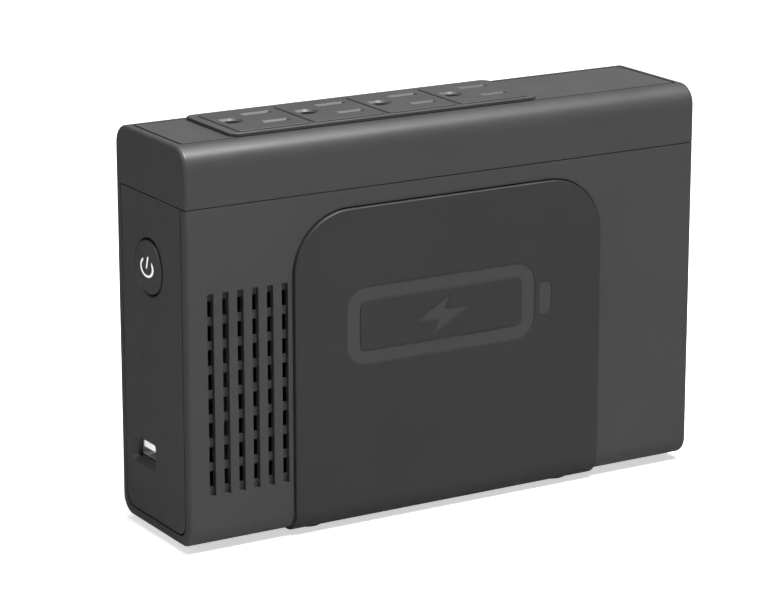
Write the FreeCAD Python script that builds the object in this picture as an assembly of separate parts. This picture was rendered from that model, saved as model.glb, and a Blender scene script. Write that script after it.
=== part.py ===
import FreeCAD, Part
import math
import os

from FreeCAD import Vector

# Slim desktop uninterruptible power supply, in millimetres.
# X runs along its length (power button at -X), Y through its depth (front at -Y), Z is up.
# The origin is on the ground under the middle of the case.

# ---- driving dimensions -------------------------------------------------------------------
LENGTH = 185.2            # case, end face to end face
DEPTH = 46.2              # case, front to back
BODY_HEIGHT = 125.2       # case bottom to top panel
SEAM_HEIGHT = 106.4       # case bottom to the joint line under the cap
WALL = 2.2                # case wall
LONG_EDGE_R = 6.0         # rounding of the case's bottom long edges
CAP_EDGE_R = 6.5          # rounding of the cap's top long edges
END_EDGE_R = 1.1          # small rounding around both end faces
SEAM_GAP = 0.3            # open joint line between cap and case
FIT_GAP = 0.15            # gap around a part let into another
SADDLE_T = 1.0            # cover that wraps front, bottom and back
FOOT_T = 1.0              # rubber feet
FOOT_R = 5.0
FOOT_INSET = 10.0         # from the saddle's side edge to a foot's middle
FOOT_EDGE_R = 0.35

# ---- levels and half sizes worked out from them -------------------------------------------
BODY_Z = FOOT_T + SADDLE_T
SEAM_Z = BODY_Z + SEAM_HEIGHT
TOP_Z = BODY_Z + BODY_HEIGHT
HALF_L = LENGTH / 2
HALF_D = DEPTH / 2
FLOOR_Z = BODY_Z + WALL
CLEAR = 1.0               # how far a cutting tool runs past a face

# ---- end panels ---------------------------------------------------------------------------
PANEL_T = 2.0
PANEL_RIM = 3.0           # strip of case left visible round an end panel
PANEL_R = 4.5
PANEL_GAP = 0.5           # shadow gap round an end panel
LEDGE = 2.0               # width of the ledge behind a panel
LEDGE_T = 1.5
CAVITY_X = HALF_L - PANEL_T - LEDGE_T
PANEL_HALF_Y = HALF_D - PANEL_RIM
PANEL_BACK_X = HALF_L - PANEL_T

# ---- ventilation slots --------------------------------------------------------------------
VENT_COLUMNS = 6
VENT_ROWS = 8
VENT_W = 2.2
VENT_PITCH_X = 5.105
VENT_X0 = -85.8
VENT_TOP_Z = BODY_Z + 80.1
VENT_BOTTOM_Z = BODY_Z + 16.4
VENT_OPEN_H = 5.0
VENT_PITCH_Z = 7.65
VENT_TOP_RIB = 2.5
VENT_RIB_DEPTH = 1.4      # how far the ribs lie behind the front face

# ---- wrap-around saddle cover -------------------------------------------------------------
SADDLE_HALF_X = 56.1
SADDLE_TOP_Z = BODY_Z + 100.5
SADDLE_R = 19.3
SADDLE_EDGE_R = 0.35
GROOVE_W = 0.5            # shadow groove in the case round the saddle
GROOVE_DEPTH = 0.7

# ---- emblem: a battery outline with a bolt ------------------------------------------------
EMBLEM_X0 = -38.0
EMBLEM_X1 = 31.0
EMBLEM_Z0 = BODY_Z + 50.2
EMBLEM_Z1 = BODY_Z + 75.4
EMBLEM_R = 7.0
EMBLEM_STROKE = 4.8
EMBLEM_NUB_W = 4.6
EMBLEM_NUB_H = 11.0
EMBLEM_NUB_GAP = 1.8
EMBLEM_NUB_R_IN = 0.6     # corners next to the outline
EMBLEM_NUB_R_OUT = 2.2    # corners at the free end
EMBLEM_RECESS = 0.6
EMBLEM_T = 0.4
BOLT_HALF_W = 10.5
BOLT_HALF_H = 6.2
BOLT_WAIST = 1.6
BOLT_TIP = 0.3            # how far the bolt's tips lie off its middle, as a share of its half width
BOLT_STEP = 0.1           # the same for its inner corners

# ---- top panel and outlets ----------------------------------------------------------------
TOP_PANEL_T = 2.0
TOP_PANEL_HALF_X = HALF_L - 3.15
TOP_PANEL_HALF_Y = 15.5
TOP_PANEL_R = 0.8
TOP_GAP = 0.8             # shadow groove round the top panel
TOP_LEDGE = 1.45
TOP_SEAT_R = 1.0
DECK_T = 1.1
DECK_X0 = -72.7
DECK_X1 = 37.3
DECK_HALF_Y = 15.8
DECK_R = 3.0
DECK_EDGE_R = 0.3
DECK_Z = TOP_Z + DECK_T
OUTLET_RAISE = 0.3        # outlet faces above the deck
FACE_Z = DECK_Z + OUTLET_RAISE
OUTLET_COUNT = 4
OUTLET_X0 = -69.5
OUTLET_PITCH = 26.25
OUTLET_W = 24.75
OUTLET_HALF_Y = 13.6
OUTLET_Y = -0.7           # middle of an outlet face; its holes lie round y = 0
OUTLET_R = 1.5
OUTLET_EDGE_R = 0.2
OUTLET_FLANGE = 0.5
OUTLET_FLANGE_T = 1.5
OUTLET_FACE_T = 2.4
OUTLET_BASE_Z = TOP_Z - 14.0
GROUND_X = 5.3            # ground hole centre from the outlet's left edge
BLADE_X = GROUND_X + 11.9 # blade slots' centre line, a standard distance from the ground hole
BLADE_Y = 12.7 / 2        # blade slots, a standard 12.7 apart
SLOT_W = 2.0
NEUTRAL_SLOT_L = 9.0
LINE_SLOT_L = 7.8
SLOT_LEAD_IN = 0.6
GROUND_R = 2.8
GROUND_FLAT = 2.4         # flat side of the ground hole, from its centre
GROUND_LEAD_IN = 0.7
CHAMBER_HALF_X = 5.2      # contact chamber under a blade slot
CHAMBER_HALF_Y = 2.3
CONTACT_T = 0.5
BLADE_T = 1.5
BLADE_LEAF_HALF_X = 3.4
GROUND_LEAF_Y = 2.4       # inner faces of the ground contact, for a 4.8 pin
GROUND_LEAF_HALF_X = 1.6
GROUND_CHAMBER_R = 3.35
LEAF_DROP = 1.3           # from the underside of an outlet's face to the leaves
BUS_T = 0.8
BUS_HALF_Y = 1.6
BUS_Z = OUTLET_BASE_Z - 2.2
TRAY_T = 1.6
TRAY_MARGIN = 0.5
TRAY_POST = 1.5

# ---- power button -------------------------------------------------------------------------
BUTTON_Y = 1.6
BUTTON_Z = BODY_Z + 84.0
BUTTON_HOLE_R = 9.1
BUTTON_HOLE_CHAMFER = 0.4
BUTTON_R = 8.4
BUTTON_PROUD = 0.8
BUTTON_EDGE_R = 0.5
BUTTON_DOME_R = 88.0      # radius of the slightly domed face
BUTTON_TRAVEL = 1.5
BUTTON_LEN = 6.8
GUIDE_CLEARANCE = 0.08
GUIDE_T = 1.7
STEM_R = 2.4
STEM_L = 3.6
STOP_GAP = 0.3            # spare travel before the button meets its stop
SYMBOL_T = 0.8
RING_HALF_Y = 4.45        # the symbol's ring is wider than high
RING_HALF_Z = 3.1
RING_HOLE_HALF_Y = 3.4
RING_HOLE_HALF_Z = 2.4
RING_OPEN_Y0 = -3.1       # opening at the top of the ring, from the button's middle
RING_OPEN_Y1 = 2.2
RING_OPEN_Z = 0.9
BAR_LOW = (0.2, -0.3)     # ends of the slightly leaning bar, y and z from the button's middle
BAR_HIGH = (-0.95, 3.5)
BAR_W = 0.85
SWITCH_H = 4.3
SWITCH_HALF = 6.0
SWITCH_BORE = 3.4
PLUNGER_R = 3.5
PLUNGER_LEN = 3.4
IO_BOARD_Y0 = -15.0
IO_BOARD_Y1 = 15.6
IO_BOARD_Z0 = BODY_Z + 14.0
IO_BOARD_Z1 = BODY_Z + 98.0
BUZZER_R = 6.0
BUZZER_H = 7.5
BUZZER_HOLE_R = 1.0
BUZZER_Y = 6.0
BUZZER_Z = BODY_Z + 50.0

# ---- USB charging port --------------------------------------------------------------------
USB_Y = 7.7
USB_Z = BODY_Z + 23.4
USB_HALF_Y = 6.55         # outside of the metal shell
USB_HALF_Z = 2.85
USB_SHEET = 0.3
USB_FUNNEL = 1.5          # width and depth of the sloped recess
USB_HOLE_GAP = 0.15
USB_BOSS_T = 1.0
USB_MOUTH_X = -HALF_L + 3.0
USB_CORNER_R = 0.9
USB_INNER_R = 0.2         # least corner radius inside the shell
USB_BLOCK_T = 4.0
USB_BLOCK_EASE = 0.02
TONGUE_HALF_Y = 5.9
TONGUE_Z0 = USB_Z - 0.25
TONGUE_Z1 = USB_Z + 2.25
TONGUE_SETBACK = 0.2
CONTACT_STRIP_Y = (-3.5, -1.0, 1.0, 3.5)
CONTACT_STRIP_HALF = 0.5
CONTACT_STRIP_T = 0.25
CONTACT_STRIP_SETBACK = 1.1

# ---- right end: mains inlet and thermal breaker -------------------------------------------
INLET_Z = BODY_Z + 86.0
INLET_HALF_Y = 13.4
INLET_HALF_Z = 9.9
INLET_WALL = 1.4
INLET_CHAMFER = 5.0
INLET_DEPTH = 18.0
INLET_CAVITY = 15.5
INLET_TAB_L = 6.0
FLANGE_T = 0.8
FLANGE_MARGIN = 2.4
FLANGE_R = 2.5
PANEL_CUT_EASE = 0.2      # round the parts that pass through the right panel
PIN_Y = 7.0
PIN_RISE = 2.0            # ground pin above and current pins below the inlet's middle
PIN_EDGE_R = 0.4
PIN_L = 12.0
PIN_HALF_Y = 1.0
PIN_HALF_Z = 2.0
TAB_HALF_T = 0.4
BREAKER_Z = BODY_Z + 60.0
BREAKER_NECK_R = 4.9
BREAKER_FLANGE_R = 6.6
BREAKER_BUTTON_R = 3.2
BREAKER_BUTTON_L = 4.5
BREAKER_BUTTON_EDGE_R = 0.5
BREAKER_TRAVEL = 1.2
BREAKER_DEPTH = 9.0
BREAKER_HALF_Y = 6.0
BREAKER_HALF_Z = 8.0

# ---- inside -------------------------------------------------------------------------------
CELL_R = 9.2
CELL_H = 65.0
CELL_PITCH = 19.0
CELL_COLUMNS = 4
CELL_X0 = 12.0
CELL_CAP_H = 0.8
CELL_CAP_R = 3.0
CELL_EDGE_R = 0.8
NICKEL_T = 0.3
NICKEL_HALF_W = 4.0
CHASSIS_T = 1.0
CHASSIS_Z = FLOOR_Z + CHASSIS_T
CHASSIS_SIDE_GAP = 0.5
CHASSIS_END_MARGIN = 3.4  # past the screws
CHASSIS_R = 3.0
BOSS_R = 3.2
BOSS_H = 4.0
CELL_Z = CHASSIS_Z + 3.4
HOLDER_T = 6.0
HOLDER_INSET = 1.5        # from the cells' ends
HOLDER_MARGIN = 0.4
HOLDER_R = 2.0
HOLDER_EASE = 0.08
BOARD_T = 1.6
PACK_BOARD_Z = CELL_Z + CELL_H + 3.0
PACK_BOARD_X0 = CELL_X0 - 6.0
PACK_BOARD_X1 = CELL_X0 + 46.0
PACK_BOARD_HALF_Y = 14.0
PACK_BOARD_R = 1.0
BOARD_Y = 14.5            # component side of the main board
BOARD_X0 = -70.0
BOARD_X1 = 1.0
BOARD_Z0 = BODY_Z + 9.0
BOARD_Z1 = BODY_Z + 100.0
BOARD_HOLE_INSET = 4.0
STANDOFF_R = 3.0
STANDOFF_SKIN = 0.5       # closed end of a standoff's hole
PAN_HEAD_R = 2.7
PAN_HEAD_H = 1.8
PAN_TIP_L = 3.0
HEATSINK_X0 = -66.0
HEATSINK_X1 = -36.0
HEATSINK_Y = 9.8          # face towards the transistors
HEATSINK_Z0 = BODY_Z + 20.0
HEATSINK_Z1 = BODY_Z + 76.0
HEATSINK_BASE_T = 3.0
FIN_COUNT = 8
FIN_T = 1.2
FIN_L = 15.0
MOSFET_COUNT = 4
MOSFET_T = 4.5
MOSFET_X0 = -58.0
MOSFET_W = 15.0
MOSFET_H = 10.0
MOSFET_Z0 = BODY_Z + 22.0
MOSFET_PITCH = 13.5
TRANSFORMER_X = -20.0
TRANSFORMER_Z = BODY_Z + 66.0
CORE_Y0 = -6.0
CORE_Y1 = 10.0
CORE_HALF_X = 14.0
CORE_HALF_Z = 15.0
CORE_LEG = 5.0
COIL_R = 7.0
COIL_WALL = 2.4
COIL_EASE = 0.1
COIL_FOOT_H = 4.0
COIL_FOOT_INSET = 1.0
CAPACITOR_R = 7.8
CAPACITOR_L = 25.0
CAPACITOR_EDGE_R = 0.7
CAPACITOR_X1 = -11.5      # column with two capacitors
CAPACITOR_X0 = -27.6      # the third one, beside the lower of them
CAPACITOR_Z0 = BODY_Z + 24.5
CAPACITOR_Z1 = BODY_Z + 40.5
RELAY_X = (-62.0, -43.4)
RELAY_W = 18.0
RELAY_H = 15.5
RELAY_Z0 = BODY_Z + 82.0
RELAY_Z1 = BODY_Z + 95.0
RELAY_R = 0.8
FUSE_X0 = -24.0
FUSE_X1 = -6.0
FUSE_Y = 9.0
FUSE_Z = BODY_Z + 87.5
FUSE_R = 2.6
CLIP_X = (-22.0, -12.0)
CLIP_W = 4.0
CLIP_HALF_Z = 3.2
CLIP_EASE = 0.05
TERMINAL_X0 = -5.5
TERMINAL_X1 = 0.5
TERMINAL_Y0 = 5.5
TERMINAL_Z = BODY_Z + 76.0
TERMINAL_H = 7.8
TERMINAL_PITCH = 8.6
TERMINAL_R = 0.6
LEAD_BOARD_Z = BODY_Z + 97.5
BATTERY_LEAD_Z = BODY_Z + 80.5
BATTERY_LEAD_Y = (7.5, 12.0)
MAINS_LEAD_Z = BODY_Z + 88.5
MAINS_LEAD_Y = (7.0, 9.8, 12.6)
OUTLET_LEAD_X = (-58.0, -52.0, -46.0)
OUTLET_LEAD_DROP = 5.0
OUTLET_LEAD_STANDOFF = 6.0
IO_BOARD_X = -76.4        # component side of the board behind the left panel
SCREW_R = 1.45
SCREW_HEAD_R = 3.0
SCREW_HEAD_H = 1.6
SCREW_GRIP = 3.5          # thread past the chassis plate
SCREW_EASE = 0.05
RECESS_HALF_L = 1.5       # cross recess in a screw head
RECESS_HALF_W = 0.4
RECESS_DEPTH = 0.9
CASE_SCREW_X = 84.0
CASE_SCREW_Y = 12.0
WIRE_R = 1.1


# ---- helpers ------------------------------------------------------------------------------
def place(axis, level, a, b):
    """Point at a level along one axis, with a and b along the other two in X, Y, Z order."""
    if axis == "x":
        return Vector(level, a, b)
    if axis == "y":
        return Vector(a, level, b)
    return Vector(a, b, level)


def outline(axis, level, a0, a1, b0, b1, radii):
    """Closed rounded rectangle; radii go round from its (a0, b0) corner by way of (a1, b0)."""
    corners = [(a0, b0, 1, 1), (a1, b0, -1, 1), (a1, b1, -1, -1), (a0, b1, 1, -1)]
    starts = []
    ends = []
    edges = []
    for index, (a, b, sa, sb) in enumerate(corners):
        r = radii[index]
        along_a = (a + sa * r, b)
        along_b = (a, b + sb * r)
        start, end = (along_b, along_a) if index % 2 == 0 else (along_a, along_b)
        starts.append(start)
        ends.append(end)
        if r > 0:
            reach = r * (1 - math.sqrt(0.5))
            middle = (a + sa * reach, b + sb * reach)
            edges.append(Part.Arc(place(axis, level, *start), place(axis, level, *middle),
                                  place(axis, level, *end)).toShape())
    for index in range(len(corners)):
        start = place(axis, level, *ends[index])
        end = place(axis, level, *starts[(index + 1) % len(corners)])
        if start.distanceToPoint(end) > 1e-6:
            edges.append(Part.LineSegment(start, end).toShape())
    return Part.Wire(Part.__sortEdges__(edges))


def prism(axis, lo, hi, a0, a1, b0, b1, radii=0):
    """Rounded bar along an axis from lo to hi."""
    if not isinstance(radii, tuple):
        radii = (radii,) * 4
    face = Part.Face(outline(axis, lo, a0, a1, b0, b1, radii))
    return face.extrude(place(axis, hi - lo, 0, 0))


def block(x0, x1, y0, y1, z0, z1):
    """Plain box between two corners."""
    return Part.makeBox(x1 - x0, y1 - y0, z1 - z0, Vector(x0, y0, z0))


def rod_x(x0, x1, y, z, r):
    """Cylinder along X."""
    return Part.makeCylinder(r, x1 - x0, Vector(x0, y, z), Vector(1, 0, 0))


def rod_y(y0, y1, x, z, r):
    """Cylinder along Y."""
    return Part.makeCylinder(r, y1 - y0, Vector(x, y0, z), Vector(0, 1, 0))


def rod_z(z0, z1, x, y, r):
    """Cylinder along Z."""
    return Part.makeCylinder(r, z1 - z0, Vector(x, y, z0), Vector(0, 0, 1))


def plate_from(points, axis, level, thickness):
    """Straight-sided plate from its corner points in the plane across an axis."""
    corners = [place(axis, level, a, b) for a, b in points]
    face = Part.Face(Part.makePolygon(corners + corners[:1]))
    return face.extrude(place(axis, thickness, 0, 0))


def loft(sections):
    """Solid between two outlines."""
    return Part.makeLoft(sections, True, True)


def mirrored_x(shape):
    """Copy of a shape on the other side of the YZ plane."""
    return shape.mirror(Vector(0, 0, 0), Vector(1, 0, 0))


def mirrored_y(shape):
    """Copy of a shape on the other side of the XZ plane."""
    return shape.mirror(Vector(0, 0, 0), Vector(0, 1, 0))


def joined(shapes):
    """One solid from several that touch."""
    return shapes[0].fuse(shapes[1:]).removeSplitter()


def group(shapes):
    """Separate solids kept in one node."""
    return Part.makeCompound(shapes)


def end_face_edges(shape, z_skip):
    """Edges round both end faces, apart from those lying at the level z_skip."""
    picked = []
    for edge in shape.Edges:
        box = edge.BoundBox
        on_end = box.XLength < 1e-3 and abs(abs(box.XMin) - HALF_L) < 1e-3
        skipped = box.ZLength < 1e-3 and abs(box.ZMin - z_skip) < 1e-3
        if on_end and not skipped:
            picked.append(edge)
    return picked


def lead(points, r):
    """Insulated wire along straight runs joined by tangent arcs."""
    share = 0.45
    edges = []
    start = points[0]
    for before, corner, after in zip(points, points[1:], points[2:]):
        run_in = (corner - before)
        run_out = (after - corner)
        tangent = share * min(run_in.Length, run_out.Length)
        run_in.normalize()
        run_out.normalize()
        half_turn = run_in.getAngle(run_out) / 2
        bend_r = tangent / math.tan(half_turn)
        inward = (run_out - run_in).normalize()
        middle = corner + inward * (math.hypot(bend_r, tangent) - bend_r)
        arc_start = corner - run_in * tangent
        arc_end = corner + run_out * tangent
        edges.append(Part.LineSegment(start, arc_start).toShape())
        edges.append(Part.Arc(arc_start, middle, arc_end).toShape())
        start = arc_end
    edges.append(Part.LineSegment(start, points[-1]).toShape())
    ring = Part.Wire(Part.makeCircle(r, points[0], points[1] - points[0]))
    return Part.Wire(edges).makePipeShell([ring], True, False)


def screw(tip_length):
    """Countersunk screw with a cross recess, head face at z = 0 and shank upwards."""
    head = Part.makeCone(SCREW_HEAD_R, SCREW_R, SCREW_HEAD_H)
    shank = rod_z(SCREW_HEAD_H, tip_length, 0, 0, SCREW_R)
    slot = block(-RECESS_HALF_L, RECESS_HALF_L, -RECESS_HALF_W, RECESS_HALF_W, -CLEAR, RECESS_DEPTH)
    cross = [slot, slot.rotated(Vector(0, 0, 0), Vector(0, 0, 1), 90)]
    return joined([head, shank]).cut(cross)


def screw_hole(depth):
    """Cutting tool for a countersunk hole whose mouth is at z = 0."""
    ease = 0.15
    cone = Part.makeCone(SCREW_HEAD_R + ease, SCREW_R + ease, SCREW_HEAD_H)
    return joined([cone, rod_z(-CLEAR, 0, 0, 0, SCREW_HEAD_R + ease), rod_z(0, depth, 0, 0, SCREW_R + ease)])


def case_screw_spots():
    """Middles of the four screws in the case bottom."""
    return [Vector(sx * CASE_SCREW_X, sy * CASE_SCREW_Y, BODY_Z) for sx in (-1, 1) for sy in (-1, 1)]


# ---- case ---------------------------------------------------------------------------------
def saddle_footprint(grow, z_low):
    """Saddle outline seen from the front, grown by a margin, as a bar through the case."""
    radii = (0, 0, SADDLE_R + grow, SADDLE_R + grow)
    return prism("y", -DEPTH, DEPTH, -SADDLE_HALF_X - grow, SADDLE_HALF_X + grow,
                 z_low, SADDLE_TOP_Z + grow, radii)


def case_section(x0, x1, offset, z_high):
    """Bar with the case's section, grown by an offset."""
    r = LONG_EDGE_R + offset
    return prism("x", x0, x1, -HALF_D - offset, HALF_D + offset, BODY_Z - offset, z_high, (r, r, 0, 0))


def vent_tools():
    """Slots with set-back ribs, front and back."""
    tools = []
    for column in range(VENT_COLUMNS):
        x0 = VENT_X0 + column * VENT_PITCH_X
        tools.append(block(x0, x0 + VENT_W, -HALF_D - CLEAR, -HALF_D + VENT_RIB_DEPTH,
                           VENT_BOTTOM_Z, VENT_TOP_Z))
        for row in range(VENT_ROWS):
            z1 = VENT_TOP_Z - VENT_TOP_RIB - row * VENT_PITCH_Z
            tools.append(block(x0, x0 + VENT_W, -HALF_D - CLEAR, -HALF_D + WALL + CLEAR,
                               z1 - VENT_OPEN_H, z1))
    front = tools[0].fuse(tools[1:])
    return [front, mirrored_y(front)]


def main_shell():
    """Front, bottom and back of the case, with a ledged frame for a panel at each end."""
    shell = case_section(-HALF_L, HALF_L, 0, SEAM_Z)
    shell = shell.makeFillet(END_EDGE_R, end_face_edges(shell, SEAM_Z))
    cavity = case_section(-CAVITY_X, CAVITY_X, -WALL, SEAM_Z + CLEAR)
    seat = prism("x", -HALF_L - CLEAR, -PANEL_BACK_X, -PANEL_HALF_Y, PANEL_HALF_Y,
                 BODY_Z + PANEL_RIM, SEAM_Z + CLEAR, (PANEL_R, PANEL_R, 0, 0))
    window_y = PANEL_HALF_Y - LEDGE
    window = prism("x", -HALF_L, HALF_L, -window_y, window_y,
                   BODY_Z + PANEL_RIM + LEDGE, SEAM_Z + CLEAR, (PANEL_R, PANEL_R, 0, 0))
    skin = case_section(-HALF_L, HALF_L, 0, SEAM_Z).cut(case_section(-HALF_L, HALF_L, -GROOVE_DEPTH, SEAM_Z))
    groove = saddle_footprint(GROOVE_W, 0).cut(saddle_footprint(0, 0)).common(skin)
    holes = []
    for spot in case_screw_spots():
        holes.append(screw_hole(WALL + CLEAR).translated(spot))
    return shell.cut([cavity, seat, mirrored_x(seat), window] + vent_tools() + [groove] + holes)


def saddle_cover():
    """Cover that wraps the front, the bottom and the back, with a sunk emblem field in front."""
    outer = case_section(-HALF_L, HALF_L, SADDLE_T, SEAM_Z)
    skin = outer.cut(case_section(-HALF_L, HALF_L, 0, SEAM_Z))
    cover = skin.common(saddle_footprint(0, 0))
    outer_y = HALF_D + SADDLE_T
    rim = []
    for edge in cover.Edges:
        box = edge.BoundBox
        on_outside = box.YLength < 1e-3 and abs(abs(box.YMin) - outer_y) < 1e-3
        along_rim = box.XLength < 1e-3 or box.ZMin > SADDLE_TOP_Z - SADDLE_R - 1e-3
        under = box.XLength < 1e-3 and box.ZLength < 1e-3 and abs(box.ZMin - FOOT_T) < 1e-3
        bend = box.XLength < 1e-3 and 1 < box.ZLength < LONG_EDGE_R + 2 * SADDLE_T and box.ZMin < BODY_Z - 0.5
        if (on_outside and along_rim) or under or bend:
            rim.append(edge)
    cover = cover.makeFillet(SADDLE_EDGE_R, rim)
    field_y = -outer_y
    tools = [shape.translated(Vector(0, field_y - CLEAR, 0)) for shape in emblem_shapes(EMBLEM_RECESS + CLEAR)]
    return cover.cut(tools)


def emblem_shapes(thickness):
    """Battery ring, terminal and bolt as plates whose front lies at y = 0."""
    ring = prism("y", 0, thickness, EMBLEM_X0, EMBLEM_X1, EMBLEM_Z0, EMBLEM_Z1, EMBLEM_R)
    hole = prism("y", -CLEAR, thickness + CLEAR, EMBLEM_X0 + EMBLEM_STROKE, EMBLEM_X1 - EMBLEM_STROKE,
                 EMBLEM_Z0 + EMBLEM_STROKE, EMBLEM_Z1 - EMBLEM_STROKE, EMBLEM_R - EMBLEM_STROKE)
    mid_x = (EMBLEM_X0 + EMBLEM_X1) / 2
    mid_z = (EMBLEM_Z0 + EMBLEM_Z1) / 2
    nub_x = EMBLEM_X1 + EMBLEM_NUB_GAP
    nub_radii = (EMBLEM_NUB_R_IN, EMBLEM_NUB_R_OUT, EMBLEM_NUB_R_OUT, EMBLEM_NUB_R_IN)
    nub = prism("y", 0, thickness, nub_x, nub_x + EMBLEM_NUB_W,
                mid_z - EMBLEM_NUB_H / 2, mid_z + EMBLEM_NUB_H / 2, nub_radii)
    tip = BOLT_HALF_W * BOLT_TIP
    step = BOLT_HALF_W * BOLT_STEP
    bolt = plate_from([(mid_x + tip, mid_z + BOLT_HALF_H), (mid_x - BOLT_HALF_W, mid_z - BOLT_WAIST),
                       (mid_x - step, mid_z - BOLT_WAIST), (mid_x - tip, mid_z - BOLT_HALF_H),
                       (mid_x + BOLT_HALF_W, mid_z + BOLT_WAIST), (mid_x + step, mid_z + BOLT_WAIST)],
                      "y", 0, thickness)
    return [ring.cut(hole), nub, bolt]


def front_emblem():
    """Inlays of the emblem, a little below the cover's face."""
    back_y = -HALF_D - SADDLE_T + EMBLEM_RECESS
    return group([shape.translated(Vector(0, back_y - EMBLEM_T, 0)) for shape in emblem_shapes(EMBLEM_T)])


def rubber_feet():
    """Four round pads stuck under the saddle."""
    foot_x = SADDLE_HALF_X - FOOT_INSET
    foot_y = HALF_D - LONG_EDGE_R - FOOT_R
    feet = []
    for sx in (-1, 1):
        for sy in (-1, 1):
            pad = rod_z(0, FOOT_T, sx * foot_x, sy * foot_y, FOOT_R)
            low_edges = [e for e in pad.Edges if e.BoundBox.ZMax < 1e-3]
            feet.append(pad.makeFillet(FOOT_EDGE_R, low_edges))
    return group(feet)


def case_screws():
    """Four countersunk screws in the case bottom."""
    length = WALL + CHASSIS_T + SCREW_GRIP
    return group([screw(length).translated(spot) for spot in case_screw_spots()])


def panel_blank():
    """Left end panel before its openings are cut."""
    half_y = PANEL_HALF_Y - PANEL_GAP
    return prism("x", -HALF_L, -PANEL_BACK_X, -half_y, half_y,
                 BODY_Z + PANEL_RIM + PANEL_GAP, SEAM_Z, (PANEL_R, PANEL_R, 0, 0))


def left_end_panel():
    """End panel with the button's well and the sunk USB opening."""
    hole_y = USB_HALF_Y + USB_HOLE_GAP
    hole_z = USB_HALF_Z + USB_HOLE_GAP
    back = -PANEL_BACK_X
    boss = block(back, back + USB_BOSS_T, USB_Y - hole_y - WALL, USB_Y + hole_y + WALL,
                 USB_Z - hole_z - WALL, USB_Z + hole_z + WALL)
    mouth_y = hole_y + USB_FUNNEL
    mouth_z = hole_z + USB_FUNNEL
    mouth_r = 1.6
    throat_r = 0.5
    funnel = loft([outline("x", -HALF_L, USB_Y - mouth_y, USB_Y + mouth_y,
                           USB_Z - mouth_z, USB_Z + mouth_z, (mouth_r,) * 4),
                   outline("x", -HALF_L + USB_FUNNEL, USB_Y - hole_y, USB_Y + hole_y,
                           USB_Z - hole_z, USB_Z + hole_z, (throat_r,) * 4)])
    throat = prism("x", -HALF_L, back + USB_BOSS_T + CLEAR, USB_Y - hole_y, USB_Y + hole_y,
                   USB_Z - hole_z, USB_Z + hole_z, throat_r)
    well = rod_x(-HALF_L - CLEAR, back + CLEAR, BUTTON_Y, BUTTON_Z, BUTTON_HOLE_R)
    chamfer = Part.makeCone(BUTTON_HOLE_R + BUTTON_HOLE_CHAMFER, BUTTON_HOLE_R, BUTTON_HOLE_CHAMFER,
                            Vector(-HALF_L, BUTTON_Y, BUTTON_Z), Vector(1, 0, 0))
    return joined([panel_blank(), boss]).cut([funnel, throat, well, chamfer])


def right_end_panel():
    """End panel with the cut-outs of the mains inlet and the breaker."""
    inlet = inlet_outline(PANEL_BACK_X - CLEAR, HALF_L + CLEAR, PANEL_CUT_EASE)
    neck = rod_x(PANEL_BACK_X - CLEAR, HALF_L + CLEAR, 0, BREAKER_Z, BREAKER_NECK_R + PANEL_CUT_EASE)
    return mirrored_x(panel_blank()).cut([inlet, neck])


def top_cap():
    """Cap with rounded long edges, a sunk seat for the top panel and a tongue into the case."""
    low = SEAM_Z + SEAM_GAP
    cap = prism("x", -HALF_L, HALF_L, -HALF_D, HALF_D, low, TOP_Z, (0, 0, CAP_EDGE_R, CAP_EDGE_R))
    cap = cap.makeFillet(END_EDGE_R, end_face_edges(cap, low))
    roof = TOP_PANEL_T + LEDGE_T
    inner_r = CAP_EDGE_R - WALL
    inner_x = HALF_L - WALL
    inner_y = HALF_D - WALL
    cavity = prism("x", -inner_x, inner_x, -inner_y, inner_y, low - CLEAR, TOP_Z - roof,
                   (0, 0, inner_r, inner_r))
    seat_x = TOP_PANEL_HALF_X + TOP_GAP
    seat_y = TOP_PANEL_HALF_Y + TOP_GAP
    seat = prism("z", TOP_Z - TOP_PANEL_T, TOP_Z + CLEAR, -seat_x, seat_x, -seat_y, seat_y, TOP_SEAT_R)
    window = prism("z", TOP_Z - roof - CLEAR, TOP_Z, -seat_x + TOP_LEDGE, seat_x - TOP_LEDGE,
                   -seat_y + TOP_LEDGE, seat_y - TOP_LEDGE, TOP_SEAT_R)
    cap = cap.cut([cavity, seat, window])
    tongue_gap = 0.2
    tongue_t = 1.2
    tongue_depth = 3.0
    tongue_x = 60.0
    side_y = inner_y - tongue_gap
    web = block(-tongue_x, tongue_x, -inner_y, -side_y + tongue_t, low, low + tongue_depth)
    tongue = block(-tongue_x, tongue_x, -side_y, -side_y + tongue_t, low - tongue_depth, low + tongue_depth)
    front = joined([web, tongue])
    return joined([cap, front, mirrored_y(front)])


# ---- top: panel, deck and outlets ---------------------------------------------------------
def outlet_left(index):
    """Left edge of an outlet."""
    return OUTLET_X0 + index * OUTLET_PITCH


def top_panel():
    """Flat panel let into the cap, with one window for the row of outlets."""
    ease = 0.3
    panel = prism("z", TOP_Z - TOP_PANEL_T, TOP_Z, -TOP_PANEL_HALF_X, TOP_PANEL_HALF_X,
                  -TOP_PANEL_HALF_Y, TOP_PANEL_HALF_Y, TOP_PANEL_R)
    x1 = outlet_left(OUTLET_COUNT - 1) + OUTLET_W
    half_y = OUTLET_HALF_Y + FIT_GAP
    window = prism("z", TOP_Z - TOP_PANEL_T - CLEAR, TOP_Z + CLEAR, OUTLET_X0 - ease, x1 + ease,
                   OUTLET_Y - half_y, OUTLET_Y + half_y, OUTLET_R)
    return panel.cut(window)


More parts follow.
